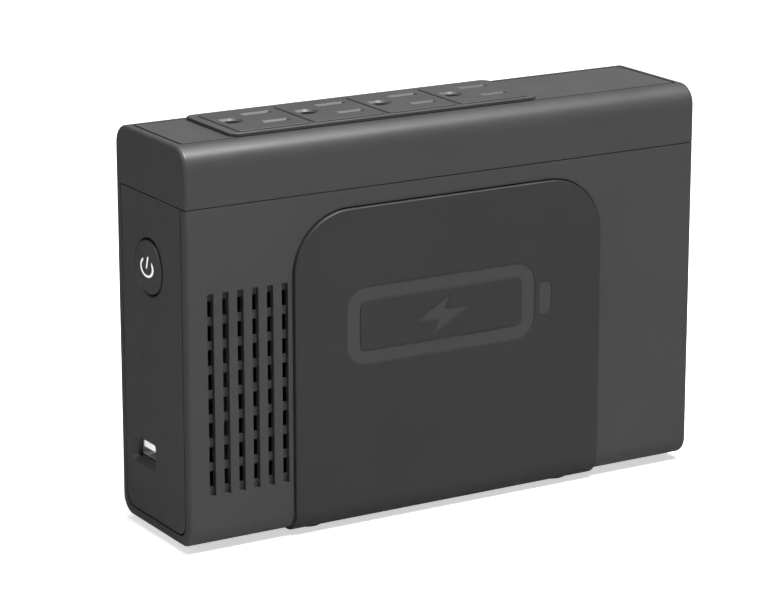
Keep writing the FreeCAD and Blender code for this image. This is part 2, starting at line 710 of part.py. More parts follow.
def outlet_deck():
    """Raised frame round the outlets."""
    deck = prism("z", TOP_Z, DECK_Z, DECK_X0, DECK_X1, -DECK_HALF_Y, DECK_HALF_Y, DECK_R)
    top_edges = [e for e in deck.Edges if e.BoundBox.ZMin > DECK_Z - 1e-3]
    deck = deck.makeFillet(DECK_EDGE_R, top_edges)
    windows = []
    half_y = OUTLET_HALF_Y + FIT_GAP
    for index in range(OUTLET_COUNT):
        x0 = outlet_left(index)
        windows.append(prism("z", TOP_Z - CLEAR, DECK_Z + CLEAR, x0 - FIT_GAP, x0 + OUTLET_W + FIT_GAP,
                             OUTLET_Y - half_y, OUTLET_Y + half_y, OUTLET_R + FIT_GAP))
    return deck.cut(windows)


def slot_tool(x, y, length):
    """Blade slot with a sloped lead-in and the contact chamber under it."""
    half_l = length / 2
    half_w = SLOT_W / 2
    lead_l = half_l + SLOT_LEAD_IN
    lead_w = half_w + SLOT_LEAD_IN
    face_back = FACE_Z - OUTLET_FACE_T
    square = (0,) * 4
    mouth = loft([outline("z", FACE_Z, x - lead_l, x + lead_l, y - lead_w, y + lead_w, square),
                  outline("z", FACE_Z - SLOT_LEAD_IN, x - half_l, x + half_l, y - half_w, y + half_w, square)])
    throat = block(x - half_l, x + half_l, y - half_w, y + half_w, face_back - CLEAR, FACE_Z)
    chamber = block(x - CHAMBER_HALF_X, x + CHAMBER_HALF_X, y - CHAMBER_HALF_Y, y + CHAMBER_HALF_Y,
                    OUTLET_BASE_Z - CLEAR, face_back)
    return [mouth, throat, chamber]


def ground_tool(x):
    """Ground pin opening with a sloped lead-in, round towards the blades and flat on the other side."""
    face_back = FACE_Z - OUTLET_FACE_T
    low = FACE_Z - GROUND_LEAD_IN
    mouth_r = GROUND_R + GROUND_LEAD_IN
    mouth_flat = GROUND_FLAT + GROUND_LEAD_IN
    square = (0,) * 4
    round_throat = rod_z(face_back - CLEAR, FACE_Z, x, 0, GROUND_R)
    round_mouth = Part.makeCone(GROUND_R, mouth_r, GROUND_LEAD_IN, Vector(x, 0, low))
    round_side = block(x, x + OUTLET_W, -OUTLET_W, OUTLET_W, face_back - CLEAR, FACE_Z)
    flat_throat = block(x - GROUND_FLAT, x, -GROUND_R, GROUND_R, face_back - CLEAR, FACE_Z)
    flat_mouth = loft([outline("z", FACE_Z, x - mouth_flat, x, -mouth_r, mouth_r, square),
                       outline("z", low, x - GROUND_FLAT, x, -GROUND_R, GROUND_R, square)])
    chamber = rod_z(OUTLET_BASE_Z - CLEAR, face_back, x, 0, GROUND_CHAMBER_R)
    return [round_throat.fuse(round_mouth).common(round_side), flat_throat, flat_mouth, chamber]


def outlet_insert(index):
    """One outlet block with its raised face, flange and contact chambers."""
    x0 = outlet_left(index)
    y0 = OUTLET_Y - OUTLET_HALF_Y
    y1 = OUTLET_Y + OUTLET_HALF_Y
    body = prism("z", OUTLET_BASE_Z, FACE_Z, x0, x0 + OUTLET_W, y0, y1, OUTLET_R)
    body = body.makeFillet(OUTLET_EDGE_R, [e for e in body.Edges if e.BoundBox.ZMin > FACE_Z - 1e-3])
    flange_z = TOP_Z - TOP_PANEL_T
    flange = block(x0 - OUTLET_FLANGE, x0 + OUTLET_W + OUTLET_FLANGE, y0 - OUTLET_FLANGE, y1 + OUTLET_FLANGE,
                   flange_z - OUTLET_FLANGE_T, flange_z)
    tools = slot_tool(x0 + BLADE_X, BLADE_Y, NEUTRAL_SLOT_L)
    tools += slot_tool(x0 + BLADE_X, -BLADE_Y, LINE_SLOT_L)
    tools += ground_tool(x0 + GROUND_X)
    return joined([body, flange]).cut(tools)


def contact_bus(y, x_offset, leaf_y, leaf_half_x):
    """Brass strip with a pair of spring leaves standing under the same hole of every outlet."""
    leaf_top = FACE_Z - OUTLET_FACE_T - LEAF_DROP
    x_end = outlet_left(OUTLET_COUNT - 1) + x_offset + leaf_half_x
    parts = [block(OUTLET_X0, x_end, y - BUS_HALF_Y, y + BUS_HALF_Y, BUS_Z, BUS_Z + BUS_T)]
    for index in range(OUTLET_COUNT):
        x = outlet_left(index) + x_offset
        for side in (-1, 1):
            inner = y + side * leaf_y
            outer = inner + side * CONTACT_T
            parts.append(block(x - leaf_half_x, x + leaf_half_x, min(inner, outer), max(inner, outer),
                               BUS_Z + BUS_T, leaf_top))
            parts.append(block(x - leaf_half_x, x + leaf_half_x, min(y, outer), max(y, outer),
                               BUS_Z, BUS_Z + BUS_T))
    return joined(parts)


def line_bus():
    """Strip with the leaves of the shorter blade slots."""
    return contact_bus(-BLADE_Y, BLADE_X, BLADE_T / 2, BLADE_LEAF_HALF_X)


def neutral_bus():
    """Strip with the leaves of the longer blade slots."""
    return contact_bus(BLADE_Y, BLADE_X, BLADE_T / 2, BLADE_LEAF_HALF_X)


def ground_bus():
    """Strip with the leaves of the ground openings."""
    return contact_bus(0, GROUND_X, GROUND_LEAF_Y, GROUND_LEAF_HALF_X)


def socket_tray():
    """Insulating tray that carries the three strips, hung under the outlets on four corner posts."""
    x0 = OUTLET_X0 - TRAY_MARGIN
    x1 = outlet_left(OUTLET_COUNT - 1) + OUTLET_W + TRAY_MARGIN
    y0 = OUTLET_Y - OUTLET_HALF_Y
    y1 = OUTLET_Y + OUTLET_HALF_Y
    parts = [block(x0, x1, y0, y1, BUS_Z - TRAY_T, BUS_Z)]
    for x in (x0, x1 - TRAY_POST):
        for y in (y0, y1 - TRAY_POST):
            parts.append(block(x, x + TRAY_POST, y, y + TRAY_POST, BUS_Z, OUTLET_BASE_Z))
    return joined(parts)


# ---- left end: button and USB -------------------------------------------------------------
def button_dome():
    """Ball whose near side is the button's slightly domed face."""
    return Part.makeSphere(BUTTON_DOME_R, Vector(BUTTON_DOME_R - HALF_L - BUTTON_PROUD, BUTTON_Y, BUTTON_Z))


def power_button():
    """Round button cap with a domed face, a stem and an inlaid power symbol."""
    front = -HALF_L - BUTTON_PROUD
    cap = rod_x(front, front + BUTTON_LEN, BUTTON_Y, BUTTON_Z, BUTTON_R).common(button_dome())
    front_edges = [e for e in cap.Edges if e.BoundBox.XMax < -HALF_L]
    cap = cap.makeFillet(BUTTON_EDGE_R, front_edges)
    stem = rod_x(front + BUTTON_LEN, plunger_front(), BUTTON_Y, BUTTON_Z, STEM_R)
    return joined([cap, stem]).cut(symbol_shapes())


def plunger_front():
    """Where the button's stem meets the switch plunger."""
    return -HALF_L - BUTTON_PROUD + BUTTON_LEN + STEM_L


def oval(half_y, half_z):
    """Bar with an oval section, from the tip of the button's face to the symbol's depth."""
    middle = Vector(-HALF_L - BUTTON_PROUD, BUTTON_Y, BUTTON_Z)
    curve = Part.Ellipse(middle + Vector(0, half_y, 0), middle + Vector(0, 0, half_z), middle)
    return Part.Face(Part.Wire(curve.toShape())).extrude(Vector(SYMBOL_T, 0, 0))


def symbol_shapes():
    """Broken ring and bar let into the button's face and level with its dome."""
    front = -HALF_L - BUTTON_PROUD
    ring = oval(RING_HALF_Y, RING_HALF_Z).cut(oval(RING_HOLE_HALF_Y, RING_HOLE_HALF_Z))
    ring = ring.cut(block(front, front + SYMBOL_T, BUTTON_Y + RING_OPEN_Y0, BUTTON_Y + RING_OPEN_Y1,
                          BUTTON_Z + RING_OPEN_Z, BUTTON_Z + RING_HALF_Z))
    low = Vector(0, *BAR_LOW)
    high = Vector(0, *BAR_HIGH)
    along = (high - low).normalize()
    side = along.cross(Vector(1, 0, 0)) * (BAR_W / 2)
    corners = [low - side, low + side, high + side, high - side]
    bar = plate_from([(BUTTON_Y + spot.y, BUTTON_Z + spot.z) for spot in corners], "x", front, SYMBOL_T)
    return [ring.common(button_dome()), bar.common(button_dome())]


def button_guide():
    """Sleeve behind the panel that the button slides in."""
    x0 = -PANEL_BACK_X
    bore_r = BUTTON_R + GUIDE_CLEARANCE
    stop = -HALF_L - BUTTON_PROUD + BUTTON_LEN + BUTTON_TRAVEL + STOP_GAP
    floor_t = 1.2
    sleeve = rod_x(x0, stop + floor_t, BUTTON_Y, BUTTON_Z, bore_r + GUIDE_T)
    bore = rod_x(x0 - CLEAR, stop, BUTTON_Y, BUTTON_Z, bore_r)
    stem_hole = rod_x(stop - CLEAR, stop + floor_t + CLEAR, BUTTON_Y, BUTTON_Z, STEM_R + STOP_GAP)
    return sleeve.cut([bore, stem_hole])


def switch_plunger():
    """Plunger of the switch, pushed by the button's stem."""
    x0 = plunger_front()
    return rod_x(x0, x0 + PLUNGER_LEN, BUTTON_Y, BUTTON_Z, PLUNGER_R)


def power_switch():
    """Push switch on the board behind the button."""
    x0 = IO_BOARD_X - SWITCH_H
    body = block(x0, IO_BOARD_X, BUTTON_Y - SWITCH_HALF, BUTTON_Y + SWITCH_HALF,
                 BUTTON_Z - SWITCH_HALF, BUTTON_Z + SWITCH_HALF)
    return body.cut(rod_x(x0 - CLEAR, x0 + SWITCH_BORE, BUTTON_Y, BUTTON_Z, PLUNGER_R + GUIDE_CLEARANCE))


def io_board():
    """Upright board behind the left panel, for the switch and the USB charger."""
    return block(IO_BOARD_X, IO_BOARD_X + BOARD_T, IO_BOARD_Y0, IO_BOARD_Y1, IO_BOARD_Z0, IO_BOARD_Z1)


def usb_box(x0, x1, inset):
    """Bar with the USB shell's outline, made smaller by an inset."""
    r = max(USB_CORNER_R - inset, USB_INNER_R)
    return prism("x", x0, x1, USB_Y - USB_HALF_Y + inset, USB_Y + USB_HALF_Y - inset,
                 USB_Z - USB_HALF_Z + inset, USB_Z + USB_HALF_Z - inset, r)


def usb_shell():
    """Folded metal shell of the USB socket."""
    tube = usb_box(USB_MOUTH_X, IO_BOARD_X, 0)
    return tube.cut(usb_box(USB_MOUTH_X - CLEAR, IO_BOARD_X + CLEAR, USB_SHEET))


def usb_tongue():
    """Plastic block of the USB socket with its tongue."""
    back = usb_box(IO_BOARD_X - USB_BLOCK_T, IO_BOARD_X, USB_SHEET + USB_BLOCK_EASE)
    tongue = block(USB_MOUTH_X + TONGUE_SETBACK, IO_BOARD_X - USB_BLOCK_T, USB_Y - TONGUE_HALF_Y,
                   USB_Y + TONGUE_HALF_Y, TONGUE_Z0, TONGUE_Z1)
    return joined([back, tongue])


def usb_contacts():
    """Four contact strips under the tongue."""
    x0 = USB_MOUTH_X + CONTACT_STRIP_SETBACK
    strips = []
    for offset in CONTACT_STRIP_Y:
        y = USB_Y + offset
        strips.append(block(x0, IO_BOARD_X - USB_BLOCK_T, y - CONTACT_STRIP_HALF, y + CONTACT_STRIP_HALF,
                            TONGUE_Z0 - CONTACT_STRIP_T, TONGUE_Z0))
    return group(strips)


def buzzer():
    """Round alarm buzzer on the small board."""
    x0 = IO_BOARD_X - BUZZER_H
    body = rod_x(x0, IO_BOARD_X, BUZZER_Y, BUZZER_Z, BUZZER_R)
    return body.cut(rod_x(x0 - CLEAR, x0 + CLEAR, BUZZER_Y, BUZZER_Z, BUZZER_HOLE_R))


# ---- right end: inlet and breaker ---------------------------------------------------------
def inlet_outline(x0, x1, offset):
    """Bar with the inlet's six-sided section, grown by an offset."""
    y = INLET_HALF_Y + offset
    z = INLET_HALF_Z + offset
    cut = INLET_CHAMFER
    points = [(-y, INLET_Z - z), (y, INLET_Z - z), (y, INLET_Z + z - cut), (y - cut, INLET_Z + z),
              (-y + cut, INLET_Z + z), (-y, INLET_Z + z - cut)]
    return plate_from(points, "x", x0, x1 - x0)


def ac_inlet():
    """Mains inlet housing with its flange; the lead's socket plugs into the cavity."""
    face = HALF_L + FLANGE_T
    half_y = INLET_HALF_Y + FLANGE_MARGIN
    half_z = INLET_HALF_Z + FLANGE_MARGIN
    flange = prism("x", HALF_L, face, -half_y, half_y, INLET_Z - half_z, INLET_Z + half_z, FLANGE_R)
    body = inlet_outline(HALF_L - INLET_DEPTH, HALF_L, 0)
    cavity = inlet_outline(face - INLET_CAVITY, face + CLEAR, -INLET_WALL)
    return joined([flange, body]).cut(cavity)


def inlet_poles():
    """Places of the two current pins and the ground pin, across and up from the inlet's middle."""
    return [(-PIN_Y, -PIN_RISE), (0, PIN_RISE), (PIN_Y, -PIN_RISE)]


def inlet_pins():
    """Two current pins and the ground pin between them, a little higher."""
    floor_x = HALF_L + FLANGE_T - INLET_CAVITY
    pins = []
    for y, rise in inlet_poles():
        z = INLET_Z + rise
        pins.append(prism("x", floor_x, floor_x + PIN_L, y - PIN_HALF_Y, y + PIN_HALF_Y,
                          z - PIN_HALF_Z, z + PIN_HALF_Z, PIN_EDGE_R))
    return group(pins)


def inlet_tabs():
    """Solder tabs at the back of the inlet, one for each pin."""
    x1 = HALF_L - INLET_DEPTH
    tabs = []
    for y, rise in inlet_poles():
        z = INLET_Z + rise
        tabs.append(block(x1 - INLET_TAB_L, x1, y - TAB_HALF_T, y + TAB_HALF_T, z - PIN_HALF_Z, z + PIN_HALF_Z))
    return group(tabs)


def breaker_body():
    """Thermal breaker behind the right panel, with its threaded neck and front flange."""
    bore_r = BREAKER_BUTTON_R + GUIDE_CLEARANCE
    face = HALF_L + FLANGE_T
    box = block(PANEL_BACK_X - BREAKER_DEPTH, PANEL_BACK_X, -BREAKER_HALF_Y, BREAKER_HALF_Y,
                BREAKER_Z - BREAKER_HALF_Z, BREAKER_Z + BREAKER_HALF_Z)
    neck = rod_x(PANEL_BACK_X, HALF_L, 0, BREAKER_Z, BREAKER_NECK_R)
    flange = rod_x(HALF_L, face, 0, BREAKER_Z, BREAKER_FLANGE_R)
    bore = rod_x(face - BREAKER_BUTTON_L - BREAKER_TRAVEL - CLEAR, face + CLEAR, 0, BREAKER_Z, bore_r)
    return joined([box, neck, flange]).cut(bore)


def breaker_button():
    """Reset button of the breaker, level with its flange."""
    face = HALF_L + FLANGE_T
    button = rod_x(face - BREAKER_BUTTON_L, face, 0, BREAKER_Z, BREAKER_BUTTON_R)
    rim = [e for e in button.Edges if e.BoundBox.XMin > face - 1e-3]
    return button.makeFillet(BREAKER_BUTTON_EDGE_R, rim)


# ---- inside: chassis, battery and boards --------------------------------------------------
def chassis_plate():
    """Sheet steel floor plate, held by the four case screws in its bosses."""
    half_y = HALF_D - LONG_EDGE_R - CHASSIS_SIDE_GAP
    half_x = CASE_SCREW_X + CHASSIS_END_MARGIN
    parts = [prism("z", FLOOR_Z, CHASSIS_Z, -half_x, half_x, -half_y, half_y, CHASSIS_R)]
    holes = []
    for spot in case_screw_spots():
        parts.append(rod_z(CHASSIS_Z, CHASSIS_Z + BOSS_H, spot.x, spot.y, BOSS_R))
        holes.append(rod_z(FLOOR_Z - CLEAR, CHASSIS_Z + BOSS_H + CLEAR, spot.x, spot.y, SCREW_R + SCREW_EASE))
    return joined(parts).cut(holes)


def cell_spots():
    """Middles of the battery's cells, seen from above."""
    return [(CELL_X0 + column * CELL_PITCH, side * CELL_PITCH / 2)
            for column in range(CELL_COLUMNS) for side in (-1, 1)]


def battery_cells():
    """Upright cells, each with a raised positive cap."""
    cells = []
    for x, y in cell_spots():
        can = rod_z(CELL_Z, CELL_Z + CELL_H, x, y, CELL_R)
        can = can.makeFillet(CELL_EDGE_R, [e for e in can.Edges if e.BoundBox.ZLength < 1e-3])
        cells.append(joined([can, rod_z(CELL_Z + CELL_H, CELL_Z + CELL_H + CELL_CAP_H, x, y, CELL_CAP_R)]))
    return group(cells)


def cell_holder(z0):
    """Plastic holder that grips one end of every cell."""
    half_x = CELL_PITCH / 2 + HOLDER_MARGIN
    half_y = CELL_PITCH + HOLDER_MARGIN
    last_x = CELL_X0 + (CELL_COLUMNS - 1) * CELL_PITCH
    holder = prism("z", z0, z0 + HOLDER_T, CELL_X0 - half_x, last_x + half_x, -half_y, half_y, HOLDER_R)
    holes = []
    for x, y in cell_spots():
        holes.append(rod_z(z0 - CLEAR, z0 + HOLDER_T + CLEAR, x, y, CELL_R + HOLDER_EASE))
    return holder.cut(holes)


def lower_cell_holder():
    """Holder round the cells' lower ends."""
    return cell_holder(CELL_Z + HOLDER_INSET)


def upper_cell_holder():
    """Holder round the cells' upper ends."""
    return cell_holder(CELL_Z + CELL_H - HOLDER_T - HOLDER_INSET)


def nickel_strips(z0, first_column):
    """Welded strips that join the cells in pairs along the pack, from a first column on."""
    result = []
    for column in range(first_column, CELL_COLUMNS - 1, 2):
        x0 = CELL_X0 + column * CELL_PITCH
        for side in (-1, 1):
            y = side * CELL_PITCH / 2
            result.append(block(x0 - NICKEL_HALF_W, x0 + CELL_PITCH + NICKEL_HALF_W,
                                y - NICKEL_HALF_W, y + NICKEL_HALF_W, z0, z0 + NICKEL_T))
    return group(result)


def upper_nickel_strips():
    """Strips on the cells' positive caps."""
    return nickel_strips(CELL_Z + CELL_H + CELL_CAP_H, 0)


def lower_nickel_strips():
    """Strips under the cells, one column further along."""
    return nickel_strips(CELL_Z - NICKEL_T, 1)


def battery_board():
    """Protection board on top of the pack."""
    return prism("z", PACK_BOARD_Z, PACK_BOARD_Z + BOARD_T, PACK_BOARD_X0, PACK_BOARD_X1,
                 -PACK_BOARD_HALF_Y, PACK_BOARD_HALF_Y, PACK_BOARD_R)


def main_board():
    """Upright inverter board beside the back wall."""
    board = block(BOARD_X0, BOARD_X1, BOARD_Y, BOARD_Y + BOARD_T, BOARD_Z0, BOARD_Z1)
    holes = [rod_y(BOARD_Y - CLEAR, BOARD_Y + BOARD_T + CLEAR, x, z, SCREW_R + 2 * SCREW_EASE)
             for x, z in board_corners()]
    return board.cut(holes)


def board_corners():
    """Fixing points of the main board."""
    inset = BOARD_HOLE_INSET
    return [(x, z) for x in (BOARD_X0 + inset, BOARD_X1 - inset) for z in (BOARD_Z0 + inset, BOARD_Z1 - inset)]


def board_standoffs():
    """Four posts between the back wall and the main board."""
    posts = []
    for x, z in board_corners():
        post = rod_y(BOARD_Y + BOARD_T, HALF_D - WALL, x, z, STANDOFF_R)
        hole = rod_y(BOARD_Y + BOARD_T - CLEAR, HALF_D - WALL - STANDOFF_SKIN, x, z, SCREW_R + SCREW_EASE)
        posts.append(post.cut(hole))
    return group(posts)


def board_screws():
    """Four pan-head screws that hold the main board."""
    screws = []
    for x, z in board_corners():
        head = rod_y(BOARD_Y - PAN_HEAD_H, BOARD_Y, x, z, PAN_HEAD_R)
        screws.append(joined([head, rod_y(BOARD_Y, BOARD_Y + BOARD_T + PAN_TIP_L, x, z, SCREW_R)]))
    return group(screws)


def heatsink():
    """Finned aluminium heatsink behind the front air slots."""
    base_y = HEATSINK_Y - HEATSINK_BASE_T
    parts = [block(HEATSINK_X0, HEATSINK_X1, base_y, HEATSINK_Y, HEATSINK_Z0, HEATSINK_Z1)]
    step = (HEATSINK_X1 - HEATSINK_X0 - FIN_T) / (FIN_COUNT - 1)
    for index in range(FIN_COUNT):
        x = HEATSINK_X0 + index * step
        parts.append(block(x, x + FIN_T, base_y - FIN_L, base_y, HEATSINK_Z0, HEATSINK_Z1))
    return joined(parts)


def power_transistors():
    """Flat transistors clamped between the board and the heatsink."""
    bodies = []
    for index in range(MOSFET_COUNT):
        z0 = MOSFET_Z0 + index * MOSFET_PITCH
        bodies.append(block(MOSFET_X0, MOSFET_X0 + MOSFET_W, HEATSINK_Y, HEATSINK_Y + MOSFET_T,
                            z0, z0 + MOSFET_H))
    return group(bodies)


def transformer_core():
    """Closed ferrite core with a round middle leg."""
    x0 = TRANSFORMER_X - CORE_HALF_X
    x1 = TRANSFORMER_X + CORE_HALF_X
    z0 = TRANSFORMER_Z - CORE_HALF_Z
    z1 = TRANSFORMER_Z + CORE_HALF_Z
    frame = block(x0, x1, CORE_Y0, CORE_Y1, z0, z1)
    window = block(x0 + CORE_LEG, x1 - CORE_LEG, CORE_Y0 - CLEAR, CORE_Y1 + CLEAR, z0 + CORE_LEG, z1 - CORE_LEG)
    leg = rod_z(z0 + CORE_LEG, z1 - CORE_LEG, TRANSFORMER_X, (CORE_Y0 + CORE_Y1) / 2, COIL_R - COIL_WALL)
    return joined([frame.cut(window), leg])


def transformer_coil():
    """Taped winding round the core's middle leg."""
    y = (CORE_Y0 + CORE_Y1) / 2
    z0 = TRANSFORMER_Z - CORE_HALF_Z + CORE_LEG + COIL_EASE
    z1 = TRANSFORMER_Z + CORE_HALF_Z - CORE_LEG - COIL_EASE
    outer = rod_z(z0, z1, TRANSFORMER_X, y, CORE_HALF_X - CORE_LEG - COIL_EASE)
    return outer.cut(rod_z(z0 - CLEAR, z1 + CLEAR, TRANSFORMER_X, y, COIL_R - COIL_WALL + COIL_EASE))


def transformer_feet():
    """Moulded feet that stand the transformer off the board."""
    x0 = TRANSFORMER_X - CORE_HALF_X + COIL_FOOT_INSET
    x1 = TRANSFORMER_X + CORE_HALF_X - COIL_FOOT_INSET
    feet = []
    for z0 in (TRANSFORMER_Z - CORE_HALF_Z, TRANSFORMER_Z + CORE_HALF_Z - COIL_FOOT_H):
        feet.append(block(x0, x1, CORE_Y1, BOARD_Y, z0, z0 + COIL_FOOT_H))
    return group(feet)


def bulk_capacitors():
    """Three electrolytic capacitors standing on the main board."""
    cans = []
    for x, z in ((CAPACITOR_X1, CAPACITOR_Z0), (CAPACITOR_X1, CAPACITOR_Z1), (CAPACITOR_X0, CAPACITOR_Z0)):
        can = rod_y(BOARD_Y - CAPACITOR_L, BOARD_Y, x, z, CAPACITOR_R)
        cans.append(can.makeFillet(CAPACITOR_EDGE_R, [e for e in can.Edges if e.BoundBox.YLength < 1e-3]))
    return group(cans)


def transfer_relays():
    """Two relays that switch the outlets between mains and inverter."""
    boxes = []
    for x0 in RELAY_X:
        boxes.append(prism("y", BOARD_Y - RELAY_H, BOARD_Y, x0, x0 + RELAY_W, RELAY_Z0, RELAY_Z1, RELAY_R))
    return group(boxes)


def mains_fuse():
    """Glass fuse with its end caps."""
    return rod_x(FUSE_X0, FUSE_X1, FUSE_Y, FUSE_Z, FUSE_R)


def fuse_clips():
    """Pair of brass clips under the fuse."""
    clips = []
    for x0 in CLIP_X:
        clip = block(x0, x0 + CLIP_W, FUSE_Y, BOARD_Y, FUSE_Z - CLIP_HALF_Z, FUSE_Z + CLIP_HALF_Z)
        clips.append(clip.cut(rod_x(x0 - CLEAR, x0 + CLIP_W + CLEAR, FUSE_Y, FUSE_Z, FUSE_R + CLIP_EASE)))
    return group(clips)


def board_terminals():
    """Two terminal blocks at the board's edge, for the battery and for the mains."""
    blocks = []
    for z0 in (TERMINAL_Z, TERMINAL_Z + TERMINAL_PITCH):
        blocks.append(prism("y", TERMINAL_Y0, BOARD_Y, TERMINAL_X0, TERMINAL_X1,
                            z0, z0 + TERMINAL_H, TERMINAL_R))
    return group(blocks)


def outlet_leads():
    """Three leads from the outlet strips' tray to the top of the main board."""
    z_tray = BUS_Z - TRAY_T
    leads = []
    for y, x in zip((-BLADE_Y, 0, BLADE_Y), OUTLET_LEAD_X):
        points = [Vector(x, y, z_tray), Vector(x, y, z_tray - OUTLET_LEAD_DROP),
                  Vector(x, BOARD_Y - OUTLET_LEAD_STANDOFF, LEAD_BOARD_Z), Vector(x, BOARD_Y, LEAD_BOARD_Z)]
        leads.append(lead(points, WIRE_R))
    return group(leads)


def inlet_leads():
    """Three leads from the inlet's tabs to the mains terminals."""
    x_tab = HALF_L - INLET_DEPTH - INLET_TAB_L
    route = ((58.0, 0.0), (42.0, 0.25), (20.0, 0.75), (7.0, 1.0))
    leads = []
    for (y, rise), y_end in zip(inlet_poles(), MAINS_LEAD_Y):
        z = INLET_Z + rise
        points = [Vector(x_tab, y, z)]
        for x, share in route:
            points.append(Vector(x, y + share * (y_end - y), z + share * (MAINS_LEAD_Z - z)))
        points.append(Vector(TERMINAL_X1, y_end, MAINS_LEAD_Z))
        leads.append(lead(points, WIRE_R))
    return group(leads)


def battery_leads():
    """Two leads from the protection board to the battery terminals."""
    z_board = PACK_BOARD_Z + BOARD_T
    x = CELL_X0
    leads = []
    for y in BATTERY_LEAD_Y:
        points = [Vector(x, y, z_board), Vector(x, y, BATTERY_LEAD_Z), Vector(TERMINAL_X1, y, BATTERY_LEAD_Z)]
        leads.append(lead(points, WIRE_R))
    return group(leads)


# ---- write every node ---------------------------------------------------------------------
NODES = {
    "main_shell": main_shell,
    "saddle_cover": saddle_cover,
    "front_emblem": front_emblem,
    "rubber_feet": rubber_feet,
    "case_screws": case_screws,
    "left_end_panel": left_end_panel,
    "right_end_panel": right_end_panel,
    "top_cap": top_cap,
    "top_panel": top_panel,
    "outlet_deck": outlet_deck,
    "line_bus": line_bus,
    "neutral_bus": neutral_bus,
    "ground_bus": ground_bus,
    "socket_tray": socket_tray,
    "power_button": power_button,
    "power_symbol": lambda: group(symbol_shapes()),
    "switch_plunger": switch_plunger,
    "button_guide": button_guide,
    "power_switch": power_switch,
    "io_board": io_board,
    "usb_shell": usb_shell,
    "usb_tongue": usb_tongue,
    "usb_contacts": usb_contacts,
    "buzzer": buzzer,
    "ac_inlet": ac_inlet,
    "inlet_pins": inlet_pins,
    "inlet_tabs": inlet_tabs,
    "breaker_body": breaker_body,
    "breaker_button": breaker_button,
    "chassis_plate": chassis_plate,
    "battery_cells": battery_cells,
    "lower_cell_holder": lower_cell_holder,
    "upper_cell_holder": upper_cell_holder,
    "upper_nickel_strips": upper_nickel_strips,
    "lower_nickel_strips": lower_nickel_strips,
    "battery_board": battery_board,
    "main_board": main_board,
    "board_standoffs": board_standoffs,
    "board_screws": board_screws,
    "heatsink": heatsink,
    "power_transistors": power_transistors,
    "transformer_core": transformer_core,
    "transformer_coil": transformer_coil,
    "transformer_feet": transformer_feet,
    "bulk_capacitors": bulk_capacitors,
    "transfer_relays": transfer_relays,
    "mains_fuse": mains_fuse,
    "fuse_clips": fuse_clips,
    "board_terminals": board_terminals,
    "outlet_leads": outlet_leads,
    "inlet_leads": inlet_leads,
    "battery_leads": battery_leads,
}
for number in range(OUTLET_COUNT):
    NODES["outlet_insert_%d" % (number + 1)] = lambda index=number: outlet_insert(index)

os.makedirs("parts", exist_ok=True)
for node, build in NODES.items():
    shape = build()
    box = shape.BoundBox
    print("%-20s %d solids, valid %s, x %.1f..%.1f y %.1f..%.1f z %.1f..%.1f" % (
        node, len(shape.Solids), shape.isValid(), box.XMin, box.XMax, box.YMin, box.YMax, box.ZMin, box.ZMax))
    shape.exportStep("parts/%s.step" % node)
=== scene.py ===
"""Looks of a slim uninterruptible power supply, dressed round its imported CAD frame.

Lengths are in metres in the frame of the CAD part: X along the case (the power button is at -X),
Y through its depth (the air slots and the emblem face -Y) and Z up from the ground.
"""

import logging
import math
from dataclasses import dataclass, field
from enum import Enum
from typing import Callable, Sequence

import bmesh
import bpy
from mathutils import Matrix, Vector


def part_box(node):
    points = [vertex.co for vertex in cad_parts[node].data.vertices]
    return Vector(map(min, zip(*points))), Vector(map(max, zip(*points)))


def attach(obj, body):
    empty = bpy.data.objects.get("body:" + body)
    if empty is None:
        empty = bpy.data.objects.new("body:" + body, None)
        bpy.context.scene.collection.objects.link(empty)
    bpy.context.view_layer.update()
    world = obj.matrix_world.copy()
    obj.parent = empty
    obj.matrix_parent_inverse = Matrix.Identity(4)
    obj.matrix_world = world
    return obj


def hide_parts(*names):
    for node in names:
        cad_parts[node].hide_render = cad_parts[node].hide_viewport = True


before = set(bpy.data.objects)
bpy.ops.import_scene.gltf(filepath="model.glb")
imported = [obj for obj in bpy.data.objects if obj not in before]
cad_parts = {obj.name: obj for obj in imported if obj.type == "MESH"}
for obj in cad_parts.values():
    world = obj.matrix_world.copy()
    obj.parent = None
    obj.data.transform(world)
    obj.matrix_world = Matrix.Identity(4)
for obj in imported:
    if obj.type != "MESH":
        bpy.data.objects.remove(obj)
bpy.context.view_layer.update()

LOG = logging.getLogger("ups")
MM = 0.001
UP = Vector((0.0, 0.0, 1.0))
Colour = tuple[float, float, float]
Value = bpy.types.NodeSocket | float | Sequence[float]
WHITE: Colour = (1.0, 1.0, 1.0)
DUST_COLOUR: Colour = (0.42, 0.41, 0.39)


class Body(Enum):
    """Moving bodies of the frame."""

    HOUSING = "housing"
    BUTTON = "button"
    RESET = "reset"


